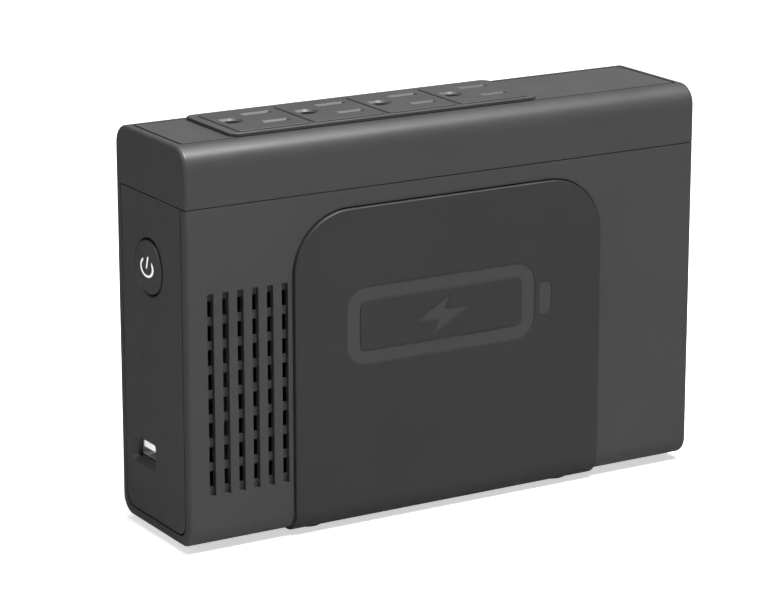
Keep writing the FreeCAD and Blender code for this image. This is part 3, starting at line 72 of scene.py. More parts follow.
# ---- node trees ---------------------------------------------------------------------------
class Graph:
    """Short calls for building one node tree."""

    def __init__(self, tree: bpy.types.NodeTree) -> None:
        """Start on a tree.

        Args:
            tree: The node tree that every call adds to.
        """
        self.tree = tree

    def node(self, kind: str, inputs: dict[str | int, Value] | None = None, **fields: object) -> bpy.types.Node:
        """Add a node.

        Args:
            kind: Blender's name of the node type.
            inputs: Sockets to link from or constants to set, by socket name or number.
            **fields: Properties of the node itself.

        Returns:
            The new node.
        """
        made = self.tree.nodes.new(kind)
        for name, value in fields.items():
            setattr(made, name, value)
        for key, value in (inputs or {}).items():
            if isinstance(value, bpy.types.NodeSocket):
                self.tree.links.new(value, made.inputs[key])
            else:
                made.inputs[key].default_value = value
        return made

    def math(self, operation: str, first: Value, second: Value = 0.0, clamp: bool = False) -> bpy.types.NodeSocket:
        """Combine two values.

        Args:
            operation: Name of the math operation.
            first: First value.
            second: Second value.
            clamp: Whether the result is kept between 0 and 1.

        Returns:
            The result's socket.
        """
        return self.node("ShaderNodeMath", {0: first, 1: second}, operation=operation, use_clamp=clamp).outputs[0]

    def remap(self, value: Value, low: float, high: float, start: Value = 0.0,
              end: Value = 1.0) -> bpy.types.NodeSocket:
        """Stretch a range of values to another, clamped at its ends.

        Args:
            value: Value to stretch.
            low: Value that becomes start.
            high: Value that becomes end.
            start: Result at low.
            end: Result at high.

        Returns:
            The result's socket.
        """
        ends = {"Value": value, "From Min": low, "From Max": high, "To Min": start, "To Max": end}
        return self.node("ShaderNodeMapRange", ends).outputs["Result"]

    def mix(self, mask: Value, first: Value, second: Value) -> bpy.types.NodeSocket:
        """Blend two colours.

        Args:
            mask: Share of the second colour.
            first: Colour where the mask is 0.
            second: Colour where the mask is 1.

        Returns:
            The blended colour's socket.
        """
        return self.node("ShaderNodeMix", {0: mask, 6: first, 7: second}, data_type="RGBA").outputs[2]

    def noise(self, vector: Value, scale: Value, detail: float = 3.0, roughness: float = 0.5) -> bpy.types.NodeSocket:
        """Add a noise texture.

        Args:
            vector: Where it is read.
            scale: Repeats to a metre.
            detail: Number of finer octaves.
            roughness: Strength of the finer octaves.

        Returns:
            The socket of its value, between 0 and 1.
        """
        inputs = {"Vector": vector, "Scale": scale, "Detail": detail, "Roughness": roughness}
        return self.node("ShaderNodeTexNoise", inputs).outputs[0]

    def place(self) -> bpy.types.NodeSocket:
        """Point on the piece in its own frame, in metres."""
        return self.node("ShaderNodeTexCoord").outputs["Object"]


class Effect(Enum):
    """Surface effects that several finishes share."""

    FINE_GRAIN = "FineGrain"
    COLOUR_DRIFT = "ColourDrift"
    EDGE_WEAR = "EdgeWear"
    DUST_FILM = "DustFilm"
    HANDLING = "Handling"
    DRAWN_LINES = "DrawnLines"
    BOARD_ART = "BoardArt"


class Effects:
    """The effects as shader node groups, each built when it is first asked for."""

    def __init__(self) -> None:
        """Start with no group built."""
        self.groups: dict[Effect, bpy.types.NodeTree] = {}

    def group(self, effect: Effect) -> bpy.types.NodeTree:
        """Find an effect's group, and build it the first time.

        Args:
            effect: The effect wanted.

        Returns:
            Its node group.
        """
        if effect not in self.groups:
            builders: dict[Effect, Callable[[], bpy.types.NodeTree]] = {
                Effect.FINE_GRAIN: self.fine_grain,
                Effect.COLOUR_DRIFT: self.colour_drift,
                Effect.EDGE_WEAR: self.edge_wear,
                Effect.DUST_FILM: self.dust_film,
                Effect.HANDLING: self.handling,
                Effect.DRAWN_LINES: self.drawn_lines,
                Effect.BOARD_ART: self.board_art,
            }
            self.groups[effect] = builders[effect]()
        return self.groups[effect]

    def use(self, graph: Graph, effect: Effect, **inputs: Value) -> bpy.types.Node:
        """Place an effect in a material.

        Args:
            graph: The material's graph.
            effect: The effect to place.
            **inputs: Its own inputs; an underscore in a name stands for a space.

        Returns:
            The group node.
        """
        named = {name.replace("_", " "): value for name, value in inputs.items()}
        placed = graph.node("ShaderNodeGroup", node_tree=self.group(effect))
        for name, value in named.items():
            if isinstance(value, bpy.types.NodeSocket):
                graph.tree.links.new(value, placed.inputs[name])
            else:
                placed.inputs[name].default_value = value
        return placed

    @staticmethod
    def start(effect: Effect, inputs: dict[str, float | Colour],
              outputs: dict[str, str]) -> tuple[Graph, bpy.types.Node, bpy.types.Node]:
        """Open a new group with its sockets.

        Args:
            effect: The effect that the group makes.
            inputs: Names of the inputs with their usual values.
            outputs: Names of the outputs with their socket types.

        Returns:
            The group's graph, its input node and its output node.
        """
        tree = bpy.data.node_groups.new(effect.value, "ShaderNodeTree")
        for name, usual in inputs.items():
            kind = "NodeSocketFloat" if isinstance(usual, float) else "NodeSocketColor"
            socket = tree.interface.new_socket(name=name, in_out="INPUT", socket_type=kind)
            socket.default_value = usual if isinstance(usual, float) else (*usual, 1.0)
        for name, kind in outputs.items():
            tree.interface.new_socket(name=name, in_out="OUTPUT", socket_type=kind)
        graph = Graph(tree)
        return graph, graph.node("NodeGroupInput"), graph.node("NodeGroupOutput")

    def fine_grain(self) -> bpy.types.NodeTree:
        """Spark-eroded mould texture: shallow rounded pits of two sizes.

        Returns:
            The group's node tree.
        """
        graph, given, result = self.start(
            Effect.FINE_GRAIN, {"Scale": 3500.0}, {"Height": "NodeSocketFloat"})
        place = graph.place()
        pits = graph.node("ShaderNodeTexVoronoi", {"Vector": place, "Scale": given.outputs["Scale"]},
                          feature="SMOOTH_F1").outputs["Distance"]
        coarse = graph.noise(place, graph.math("MULTIPLY", given.outputs["Scale"], 0.4), detail=2.0)
        height = graph.math("ADD", graph.math("MULTIPLY", pits, 0.6), graph.math("MULTIPLY", coarse, 0.8))
        graph.tree.links.new(height, result.inputs["Height"])
        return graph.tree

    def colour_drift(self) -> bpy.types.NodeTree:
        """Slow change of shade, as where the melt flowed in the mould, with a fine speckle.

        Returns:
            The group's node tree.
        """
        graph, given, result = self.start(
            Effect.COLOUR_DRIFT, {"Colour": (0.1, 0.1, 0.1), "Amount": 0.06, "Scale": 22.0},
            {"Colour": "NodeSocketColor", "Value": "NodeSocketFloat"})
        place = graph.place()
        slow = graph.noise(place, given.outputs["Scale"])
        speckle = graph.noise(place, graph.math("MULTIPLY", given.outputs["Scale"], 60.0), detail=2.0)
        value = graph.math("ADD", graph.math("MULTIPLY", slow, 0.75), graph.math("MULTIPLY", speckle, 0.25))
        dark = graph.math("SUBTRACT", 1.0, given.outputs["Amount"])
        light = graph.math("ADD", 1.0, given.outputs["Amount"])
        shade = graph.remap(value, low=0.32, high=0.68, start=dark, end=light)
        varied = graph.node("ShaderNodeHueSaturation", {"Value": shade, "Color": given.outputs["Colour"]})
        graph.tree.links.new(varied.outputs[0], result.inputs["Colour"])
        graph.tree.links.new(value, result.inputs["Value"])
        return graph.tree

    def edge_wear(self) -> bpy.types.NodeTree:
        """Mask of rubbed edges, and a normal that rounds the sharp ones a little.

        Returns:
            The group's node tree.
        """
        graph, given, result = self.start(
            Effect.EDGE_WEAR, {"Radius": 0.2 * MM, "Amount": 0.5},
            {"Mask": "NodeSocketFloat", "Normal": "NodeSocketVector"})
        rounded = graph.node("ShaderNodeBevel", {"Radius": given.outputs["Radius"]}, samples=4).outputs[0]
        flat = graph.node("ShaderNodeNewGeometry").outputs["Normal"]
        same = graph.node("ShaderNodeVectorMath", {0: rounded, 1: flat}, operation="DOT_PRODUCT").outputs["Value"]
        turned = graph.remap(same, low=0.98, high=0.75)
        broken = graph.remap(graph.noise(graph.place(), scale=420.0, detail=4.0), low=0.35, high=0.65)
        mask = graph.math("MULTIPLY", graph.math("MULTIPLY", turned, broken), given.outputs["Amount"], clamp=True)
        graph.tree.links.new(mask, result.inputs["Mask"])
        graph.tree.links.new(rounded, result.inputs["Normal"])
        return graph.tree

    def dust_film(self) -> bpy.types.NodeTree:
        """Mask of settled dust, on faces that look up.

        Returns:
            The group's node tree.
        """
        graph, given, result = self.start(Effect.DUST_FILM, {"Amount": 0.1}, {"Mask": "NodeSocketFloat"})
        normal = graph.node("ShaderNodeNewGeometry").outputs["Normal"]
        up = graph.node("ShaderNodeSeparateXYZ", {0: normal}).outputs["Z"]
        facing = graph.remap(up, low=0.2, high=0.95)
        place = graph.place()
        cloud = graph.remap(graph.noise(place, scale=60.0, detail=5.0, roughness=0.6), low=0.3, high=0.8)
        speck = graph.remap(graph.noise(place, scale=1500.0, detail=1.0), low=0.66, high=0.74)
        dust = graph.math("ADD", graph.math("MULTIPLY", cloud, 0.6), graph.math("MULTIPLY", speck, 0.8))
        mask = graph.math("MULTIPLY", graph.math("MULTIPLY", dust, facing), given.outputs["Amount"], clamp=True)
        graph.tree.links.new(mask, result.inputs["Mask"])
        return graph.tree

    def handling(self) -> bpy.types.NodeTree:
        """Roughness that changes with faint finger marks and hairline rubs.

        Returns:
            The group's node tree.
        """
        graph, given, result = self.start(
            Effect.HANDLING, {"Roughness": 0.5, "Amount": 0.08}, {"Roughness": "NodeSocketFloat"})
        place = graph.place()
        prints = graph.remap(graph.noise(place, scale=75.0, detail=4.0, roughness=0.55), low=0.35, high=0.7)
        stretched = graph.node("ShaderNodeMapping", {"Vector": place, "Rotation": (0.3, 0.5, 0.7),
                                                     "Scale": (1.0, 14.0, 5.0)}).outputs[0]
        rubs = graph.remap(graph.noise(stretched, scale=260.0, roughness=0.6), low=0.62, high=0.75)
        change = graph.math("SUBTRACT", graph.math("MULTIPLY", rubs, 0.7), prints)
        rough = graph.math("ADD", given.outputs["Roughness"], graph.math("MULTIPLY", change, given.outputs["Amount"]))
        graph.tree.links.new(rough, result.inputs["Roughness"])
        return graph.tree

    def drawn_lines(self) -> bpy.types.NodeTree:
        """Fine parallel lines of rolled, drawn or brushed metal, along X.

        Returns:
            The group's node tree.
        """
        graph, given, result = self.start(
            Effect.DRAWN_LINES, {"Scale": 900.0}, {"Height": "NodeSocketFloat", "Mask": "NodeSocketFloat"})
        stretched = graph.node("ShaderNodeMapping", {"Vector": graph.place(), "Scale": (0.04, 1.0, 1.0)}).outputs[0]
        lines = graph.noise(stretched, given.outputs["Scale"], detail=4.0, roughness=0.65)
        graph.tree.links.new(lines, result.inputs["Height"])
        graph.tree.links.new(graph.remap(lines, low=0.35, high=0.65), result.inputs["Mask"])
        return graph.tree

    def board_art(self) -> bpy.types.NodeTree:
        """Copper tracks under the solder mask, and bare pads between them.

        Returns:
            The group's node tree.
        """
        graph, given, result = self.start(
            Effect.BOARD_ART, {"Scale": 300.0},
            {"Tracks": "NodeSocketFloat", "Pads": "NodeSocketFloat"})
        place = graph.place()
        cells = graph.node("ShaderNodeTexVoronoi", {"Vector": place, "Scale": given.outputs["Scale"],
                                                    "Randomness": 0.55}, distance="CHEBYCHEV", feature="F1")
        pads = graph.remap(cells.outputs["Distance"], low=0.13, high=0.11)
        halves = graph.node("ShaderNodeTexVoronoi", {"Vector": place,
                                                     "Scale": graph.math("MULTIPLY", given.outputs["Scale"], 0.45)},
                            distance="MANHATTAN", feature="F2").outputs["Distance"]
        wave = graph.math("PINGPONG", graph.math("MULTIPLY", halves, 7.0), 0.5)
        tracks = graph.remap(wave, low=0.30, high=0.33)
        graph.tree.links.new(tracks, result.inputs["Tracks"])
        graph.tree.links.new(pads, result.inputs["Pads"])
        return graph.tree


EFFECTS = Effects()


# ---- finishes -----------------------------------------------------------------------------
def start_material(name: str) -> tuple[Graph, bpy.types.Node]:
    """Open a new node material.

    Args:
        name: The material's name.

    Returns:
        Its graph, and its Principled shader, linked to the output.
    """
    material = bpy.data.materials.new(name)
    material.use_nodes = True
    material.node_tree.nodes.clear()
    graph = Graph(material.node_tree)
    shader = graph.node("ShaderNodeBsdfPrincipled")
    graph.node("ShaderNodeOutputMaterial", {"Surface": shader.outputs[0]})
    return graph, shader


def wire(graph: Graph, shader: bpy.types.Node, **inputs: Value) -> None:
    """Link or set inputs of a shader.

    Args:
        graph: The material's graph.
        shader: The shader node.
        **inputs: Sockets or constants; an underscore in a name stands for a space.
    """
    for key, value in inputs.items():
        name = key.replace("_", " ")
        if isinstance(value, bpy.types.NodeSocket):
            graph.tree.links.new(value, shader.inputs[name])
        else:
            shader.inputs[name].default_value = value


@dataclass(frozen=True)
class MouldedPlastic:
    """Injection-moulded plastic with a fine mould texture.

    Attributes:
        name: Name of the material.
        colour: Linear colour.
        roughness: Mean roughness.
        specular: Strength of the reflection.
        grain_scale: Pits of the mould texture to a metre.
        grain_depth: Depth of that texture, in metres.
        drift: Share by which the shade changes.
        wear: Strength of rubbed edges.
        worn_gain: How much lighter a rubbed edge is.
        dust: Strength of the dust film.
        edge_radius: Radius that sharp edges are softened by, in metres.
    """

    name: str
    colour: Colour
    roughness: float = 0.5
    specular: float = 0.5
    grain_scale: float = 3600.0
    grain_depth: float = 0.012 * MM
    drift: float = 0.05
    wear: float = 0.25
    worn_gain: float = 1.8
    dust: float = 0.05
    edge_radius: float = 0.12 * MM

    def material(self) -> bpy.types.Material:
        """Build the node material.

        Returns:
            The material.
        """
        graph, shader = start_material(self.name)
        drift = EFFECTS.use(graph, Effect.COLOUR_DRIFT, Colour=(*self.colour, 1.0), Amount=self.drift)
        edge = EFFECTS.use(graph, Effect.EDGE_WEAR, Radius=self.edge_radius, Amount=self.wear)
        dust = EFFECTS.use(graph, Effect.DUST_FILM, Amount=self.dust)
        grain = EFFECTS.use(graph, Effect.FINE_GRAIN, Scale=self.grain_scale)
        rough = EFFECTS.use(graph, Effect.HANDLING, Roughness=self.roughness)
        worn = tuple(min(1.0, part * self.worn_gain) for part in self.colour)
        colour = graph.mix(edge.outputs["Mask"], drift.outputs["Colour"], (*worn, 1.0))
        colour = graph.mix(dust.outputs["Mask"], colour, (*DUST_COLOUR, 1.0))
        bump = graph.node("ShaderNodeBump", {"Strength": 0.6, "Distance": self.grain_depth,
                                             "Height": grain.outputs["Height"], "Normal": edge.outputs["Normal"]})
        wire(graph, shader, Base_Color=colour, Roughness=rough.outputs["Roughness"], Normal=bump.outputs[0],
             Specular_IOR_Level=self.specular)
        return bpy.data.materials[self.name]


@dataclass(frozen=True)
class Metal:
    """Bare or plated metal with fine drawn lines.

    Attributes:
        name: Name of the material.
        colour: Linear colour.
        roughness: Mean roughness.
        line_scale: Lines to a metre.
        line_depth: Depth of the lines, in metres.
        tarnish: Colour of the duller patches.
    """

    name: str
    colour: Colour
    roughness: float = 0.3
    line_scale: float = 900.0
    line_depth: float = 0.01 * MM
    tarnish: Colour = (0.3, 0.28, 0.25)

    def material(self) -> bpy.types.Material:
        """Build the node material.

        Returns:
            The material.
        """
        graph, shader = start_material(self.name)
        drift = EFFECTS.use(graph, Effect.COLOUR_DRIFT, Colour=(*self.colour, 1.0), Amount=0.05, Scale=90.0)
        lines = EFFECTS.use(graph, Effect.DRAWN_LINES, Scale=self.line_scale)
        rough = EFFECTS.use(graph, Effect.HANDLING, Roughness=self.roughness, Amount=0.12)
        dull = graph.remap(drift.outputs["Value"], low=0.52, high=0.7, end=0.35)
        colour = graph.mix(dull, drift.outputs["Colour"], (*self.tarnish, 1.0))
        bump = graph.node("ShaderNodeBump", {"Strength": 0.5, "Distance": self.line_depth,
                                             "Height": lines.outputs["Height"]})
        wire(graph, shader, Base_Color=colour, Metallic=1.0, Roughness=rough.outputs["Roughness"],
             Normal=bump.outputs[0])
        return bpy.data.materials[self.name]


@dataclass(frozen=True)
class CircuitBoard:
    """Glass-epoxy board under solder mask, with tracks and tinned pads.

    Attributes:
        name: Name of the material.
        mask_colour: Linear colour of the solder mask.
        track_gain: How much lighter the mask is over copper.
        pad_colour: Linear colour of the tinned pads.
    """

    name: str
    mask_colour: Colour
    track_gain: float = 1.9
    pad_colour: Colour = (0.62, 0.61, 0.56)

    def material(self) -> bpy.types.Material:
        """Build the node material.

        Returns:
            The material.
        """
        graph, shader = start_material(self.name)
        drift = EFFECTS.use(graph, Effect.COLOUR_DRIFT, Colour=(*self.mask_colour, 1.0), Amount=0.08, Scale=60.0)
        art = EFFECTS.use(graph, Effect.BOARD_ART)
        lit = tuple(min(1.0, part * self.track_gain) for part in self.mask_colour)
        colour = graph.mix(art.outputs["Tracks"], drift.outputs["Colour"], (*lit, 1.0))
        colour = graph.mix(art.outputs["Pads"], colour, (*self.pad_colour, 1.0))
        rough = EFFECTS.use(graph, Effect.HANDLING, Roughness=0.32, Amount=0.1)
        bump = graph.node("ShaderNodeBump", {"Strength": 0.5, "Distance": 0.03 * MM,
                                             "Height": art.outputs["Tracks"]})
        wire(graph, shader, Base_Color=colour, Metallic=art.outputs["Pads"], Roughness=rough.outputs["Roughness"],
             Normal=bump.outputs[0])
        return bpy.data.materials[self.name]


@dataclass(frozen=True)
class Sleeve:
    """Shrunk film, tape or insulation with faint wrinkles.

    Attributes:
        name: Name of the material.
        colour: Linear colour.
        roughness: Mean roughness.
        wrinkle_scale: Wrinkles to a metre.
        wrinkle_depth: Depth of the wrinkles, in metres.
        coat: Strength of the clear gloss.
    """

    name: str
    colour: Colour
    roughness: float = 0.35
    wrinkle_scale: float = 240.0
    wrinkle_depth: float = 0.06 * MM
    coat: float = 0.2

    def material(self) -> bpy.types.Material:
        """Build the node material.

        Returns:
            The material.
        """
        graph, shader = start_material(self.name)
        drift = EFFECTS.use(graph, Effect.COLOUR_DRIFT, Colour=(*self.colour, 1.0), Amount=0.12, Scale=55.0)
        rough = EFFECTS.use(graph, Effect.HANDLING, Roughness=self.roughness, Amount=0.15)
        wrinkles = graph.noise(graph.place(), self.wrinkle_scale, detail=4.0, roughness=0.6)
        bump = graph.node("ShaderNodeBump", {"Strength": 0.5, "Distance": self.wrinkle_depth, "Height": wrinkles})
        wire(graph, shader, Base_Color=drift.outputs["Colour"], Roughness=rough.outputs["Roughness"],
             Normal=bump.outputs[0], Coat_Weight=self.coat)
        return bpy.data.materials[self.name]


@dataclass(frozen=True)
class ClearGlass:
    """Drawn glass tube.

    Attributes:
        name: Name of the material.
        tint: Linear colour.
    """

    name: str
    tint: Colour

    def material(self) -> bpy.types.Material:
        """Build the node material.

        Returns:
            The material.
        """
        graph, shader = start_material(self.name)
        drift = EFFECTS.use(graph, Effect.COLOUR_DRIFT, Colour=(*self.tint, 1.0), Amount=0.04, Scale=200.0)
        rough = EFFECTS.use(graph, Effect.HANDLING, Roughness=0.08, Amount=0.05)
        wire(graph, shader, Base_Color=drift.outputs["Colour"], Roughness=rough.outputs["Roughness"],
             Transmission_Weight=0.85)
        return bpy.data.materials[self.name]


Finish = MouldedPlastic | Metal | CircuitBoard | Sleeve | ClearGlass

FINISHES: dict[str, Finish] = {
    "case_plastic": MouldedPlastic("case_plastic", (0.040, 0.040, 0.040), roughness=0.44),
    "saddle_plastic": MouldedPlastic("saddle_plastic", (0.0255, 0.0265, 0.0257), roughness=0.5),
    "emblem_plastic": MouldedPlastic("emblem_plastic", (0.038, 0.038, 0.038), roughness=0.55),
    "top_plastic": MouldedPlastic("top_plastic", (0.045, 0.045, 0.046), roughness=0.5),
    "outlet_plastic": MouldedPlastic("outlet_plastic", (0.045, 0.045, 0.046), roughness=0.5),
    "button_plastic": MouldedPlastic("button_plastic", (0.041, 0.041, 0.041), roughness=0.42, grain_depth=0.006 * MM),
    "symbol_white": MouldedPlastic("symbol_white", (0.86, 0.87, 0.87), roughness=0.35, wear=0.0, dust=0.0),
    "dark_plastic": MouldedPlastic("dark_plastic", (0.018, 0.018, 0.019), roughness=0.5),
    "white_plastic": MouldedPlastic("white_plastic", (0.93, 0.93, 0.93), roughness=0.35, wear=0.0, dust=0.0),
    "foot_rubber": MouldedPlastic("foot_rubber", (0.016, 0.016, 0.017), roughness=0.8, specular=0.3,
                                  grain_scale=1800.0, grain_depth=0.03 * MM, drift=0.12, dust=0.12),
    "component_black": MouldedPlastic("component_black", (0.016, 0.016, 0.017), roughness=0.45),
    "relay_blue": MouldedPlastic("relay_blue", (0.02, 0.09, 0.30), roughness=0.35),
    "terminal_green": MouldedPlastic("terminal_green", (0.02, 0.24, 0.10), roughness=0.4),
    "ferrite": MouldedPlastic("ferrite", (0.055, 0.055, 0.058), roughness=0.6, grain_depth=0.05 * MM, drift=0.2),
    "screw_steel": Metal("screw_steel", (0.42, 0.42, 0.43), roughness=0.32),
    "sheet_steel": Metal("sheet_steel", (0.55, 0.56, 0.57), roughness=0.38),
    "usb_metal": Metal("usb_metal", (0.86, 0.86, 0.86), roughness=0.42),
    "contact_brass": Metal("contact_brass", (0.72, 0.52, 0.24), roughness=0.25, tarnish=(0.32, 0.2, 0.08)),
    "pin_metal": Metal("pin_metal", (0.72, 0.71, 0.68), roughness=0.22),
    "heatsink_aluminium": Metal("heatsink_aluminium", (0.03, 0.03, 0.031), roughness=0.45, tarnish=(0.06, 0.06, 0.06)),
    "board_green": CircuitBoard("board_green", (0.004, 0.022, 0.012), pad_colour=(0.30, 0.29, 0.26)),
    "cell_wrap": Sleeve("cell_wrap", (0.04, 0.16, 0.38)),
    "capacitor_sleeve": Sleeve("capacitor_sleeve", (0.015, 0.02, 0.07)),
    "coil_tape": Sleeve("coil_tape", (0.70, 0.46, 0.05), wrinkle_scale=500.0),
    "lead_insulation": Sleeve("lead_insulation", (0.40, 0.02, 0.02), roughness=0.4),
    "lead_black": Sleeve("lead_black", (0.02, 0.02, 0.02), roughness=0.4),
    "fuse_glass": ClearGlass("fuse_glass", (0.85, 0.9, 0.9)),
}


class Paintbox:
    """Materials of the finishes, each made when it is first used."""

    def __init__(self) -> None:
        """Start with no material made, and with the frame's own materials set aside."""
        self.made: dict[str, bpy.types.Material] = {}
        for material in list(bpy.data.materials):
            material.name = "frame_" + material.name

    def material(self, slot: str) -> bpy.types.Material:
        """Find the material of a slot, and build it the first time.

        Args:
            slot: Name of the record's material slot.

        Returns:
            The material.
        """
        if slot not in self.made:
            self.made[slot] = FINISHES[slot].material()
        return self.made[slot]

    def dress(self, piece: bpy.types.Object, slot: str) -> None:
        """Give a piece its finish.

        Args:
            piece: The piece to dress.
            slot: Name of the record's material slot.
        """
        piece.data.materials.clear()
        piece.data.materials.append(self.material(slot))


PAINT = Paintbox()


# ---- mesh making --------------------------------------------------------------------------
def piece_from(name: str, shape: bmesh.types.BMesh, sharp_angle: float = math.radians(32)) -> bpy.types.Object:
    """Make an object of a finished shape, smooth but for its sharp edges.

    Args:
        name: Name of the piece.
        shape: The shape, which is freed.
        sharp_angle: Edges that turn more than this stay sharp.

    Returns:
        The new object, in the scene.
    """
    bmesh.ops.recalc_face_normals(shape, faces=shape.faces)
    mesh = bpy.data.meshes.new(name)
    shape.to_mesh(mesh)
    shape.free()
    mesh.shade_smooth()
    mesh.set_sharp_from_angle(angle=sharp_angle)
    made = bpy.data.objects.new(name, mesh)
    bpy.context.scene.collection.objects.link(made)
    return made


def turn(shape: bmesh.types.BMesh, profile: Sequence[tuple[float, float]], centre: Vector, steps: int = 96) -> None:
    """Add a closed body, turned round an upright axis, to a shape.

    Args:
        shape: The shape to add to.
        profile: Radius and height of each ring, from one pole to the other.
        centre: Point on the axis that the heights are measured from.
        steps: Points round each ring.
    """
    side = UP.orthogonal().normalized()
    across = UP.cross(side)
    rings: list[list[bmesh.types.BMVert]] = []
    for radius, level in profile:
        middle = centre + UP * level
        if radius <= 0.0:
            rings.append([shape.verts.new(middle)])
            continue
        ring = []
        for step in range(steps):
            angle = math.tau * step / steps
            ring.append(shape.verts.new(middle + (side * math.cos(angle) + across * math.sin(angle)) * radius))
        rings.append(ring)
    for first, second in zip(rings, rings[1:]):
        for step in range(steps):
            after = (step + 1) % steps
            if len(first) == 1:
                shape.faces.new((first[0], second[step], second[after]))
            elif len(second) == 1:
                shape.faces.new((first[step], first[after], second[0]))
            else:
                shape.faces.new((first[step], first[after], second[after], second[step]))


def round_over(radius: float, bend: float, steps: int = 6) -> list[tuple[float, float]]:
    """Points of a quarter round from an underside at height 0 up to a wall.

    Args:
        radius: Radius of the wall.
        bend: Radius of the rounding.
        steps: Number of runs that it is made of.

    Returns:
        Radius and height of each point.
    """
    points = []
    for step in range(steps, -1, -1):
        angle = math.pi / 2 * step / steps
        points.append((radius - bend + bend * math.cos(angle), bend - bend * math.sin(angle)))
    return points


# ---- sub-assemblies -----------------------------------------------------------------------
@dataclass
class SubAssembly:
    """A group of pieces that belong together.

    Attributes:
        title: Its name in the log.
        nodes: CAD nodes that stay, with the slot that each takes its finish from.
    """

    title: str = ""
    nodes: dict[str, str] = field(default_factory=dict)

    def build(self) -> list[bpy.types.Object]:
        """Make the pieces that are shaped here. A group of CAD nodes alone makes none."""
        return []

    def dress(self) -> None:
        """Give every CAD node of the group its finish."""
        for node, slot in self.nodes.items():
            PAINT.dress(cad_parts[node], slot)
            LOG.info("%s: %s takes %s", self.title, node, slot)

    def add(self, piece: bpy.types.Object, slot: str, body: Body, *stands_for: str) -> bpy.types.Object:
        """Finish a new piece and tie it to the frame.

        Args:
            piece: The new piece, in place.
            slot: The slot that it takes its finish from.
            body: The body that it moves with.
            *stands_for: CAD nodes that it is shown instead of.

        Returns:
            The same piece.
        """
        PAINT.dress(piece, slot)
        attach(piece, body.value)
        if stands_for:
            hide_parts(*stands_for)
        LOG.info("%s: made %s with %d faces", self.title, piece.name, len(piece.data.polygons))
        return piece


@dataclass
class Case(SubAssembly):
    """Case, cap, end panels, wrap-around cover and emblem, with feet and screws under them.

    Attributes:
        foot_edge: Rounding of a foot's lower edge.
        groove_inner: Inner radius of the ring groove, as a share of the foot's radius.
        groove_outer: Outer radius of that groove, as a share.
        groove_depth: Its depth.
        groove_lip: Width of the slope on each side of it.
        hollow: How far a foot's middle lies above its rim.
    """

    title: str = "case"
    nodes: dict[str, str] = field(default_factory=lambda: {
        "main_shell": "case_plastic", "top_cap": "case_plastic", "left_end_panel": "case_plastic",
        "right_end_panel": "case_plastic", "saddle_cover": "saddle_plastic", "front_emblem": "emblem_plastic",
        "case_screws": "screw_steel"})
    foot_edge: float = 0.35 * MM
    groove_inner: float = 0.52
    groove_outer: float = 0.66
    groove_depth: float = 0.3 * MM
    groove_lip: float = 0.12 * MM
    hollow: float = 0.06 * MM

    def build(self) -> list[bpy.types.Object]:
        """Make the rubber feet, each with a ring groove and a slightly hollow middle.

        Returns:
            The feet, as one piece.
        """
        low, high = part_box("rubber_feet")
        cover_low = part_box("saddle_cover")[0]
        radius = self.foot_radius(high)
        shape = bmesh.new()
        for x in (low.x + radius, high.x - radius):
            for y in (low.y + radius, high.y - radius):
                turn(shape, self.foot_profile(radius, cover_low.z - low.z), Vector((x, y, low.z)))
        feet = piece_from("foot_pads", shape)
        return [self.add(feet, "foot_rubber", Body.HOUSING, "rubber_feet")]

    @staticmethod
    def foot_radius(high: Vector) -> float:
        """Radius of a foot, from the one at the highest corner of the group of four.

        Args:
            high: Highest corner.

        Returns:
            The radius.
        """
        points = [v.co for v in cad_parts["rubber_feet"].data.vertices if v.co.x > 0 and v.co.y > 0]
        return (high.x - min(point.x for point in points)) / 2

    def foot_profile(self, radius: float, height: float) -> list[tuple[float, float]]:
        """Outline of a foot, from the middle of its underside to the middle of its top.

        Args:
            radius: Radius of the foot.
            height: Its height.

        Returns:
            Radius and height of each point.
        """
        inner = radius * self.groove_inner
        outer = radius * self.groove_outer
        lip = self.groove_lip
        hollow = [(0.0, self.hollow), (inner * 0.6, self.hollow * 0.8), (inner - lip, self.hollow * 0.3)]
        groove = [(inner, lip), (inner + lip, self.groove_depth), (outer - lip, self.groove_depth), (outer, lip),
                  (outer + lip, 0.0)]
        return hollow + groove + round_over(radius, self.foot_edge) + [(radius, height), (0.0, height)]


@dataclass
class Outlets(SubAssembly):
    """Top panel, raised deck and the four outlets, with their contact strips."""

    title: str = "outlets"
    nodes: dict[str, str] = field(default_factory=lambda: {
        "top_panel": "top_plastic", "outlet_deck": "top_plastic",
        "outlet_insert_1": "outlet_plastic", "outlet_insert_2": "outlet_plastic",
        "outlet_insert_3": "outlet_plastic", "outlet_insert_4": "outlet_plastic",
        "line_bus": "contact_brass", "neutral_bus": "contact_brass", "ground_bus": "contact_brass",
        "socket_tray": "dark_plastic"})


@dataclass
class PowerKey(SubAssembly):
    """Power button with its symbol, and the switch behind it."""

    title: str = "power key"
    nodes: dict[str, str] = field(default_factory=lambda: {
        "power_button": "button_plastic", "power_symbol": "symbol_white", "switch_plunger": "white_plastic",
        "button_guide": "dark_plastic", "power_switch": "component_black", "io_board": "board_green",
        "buzzer": "component_black"})


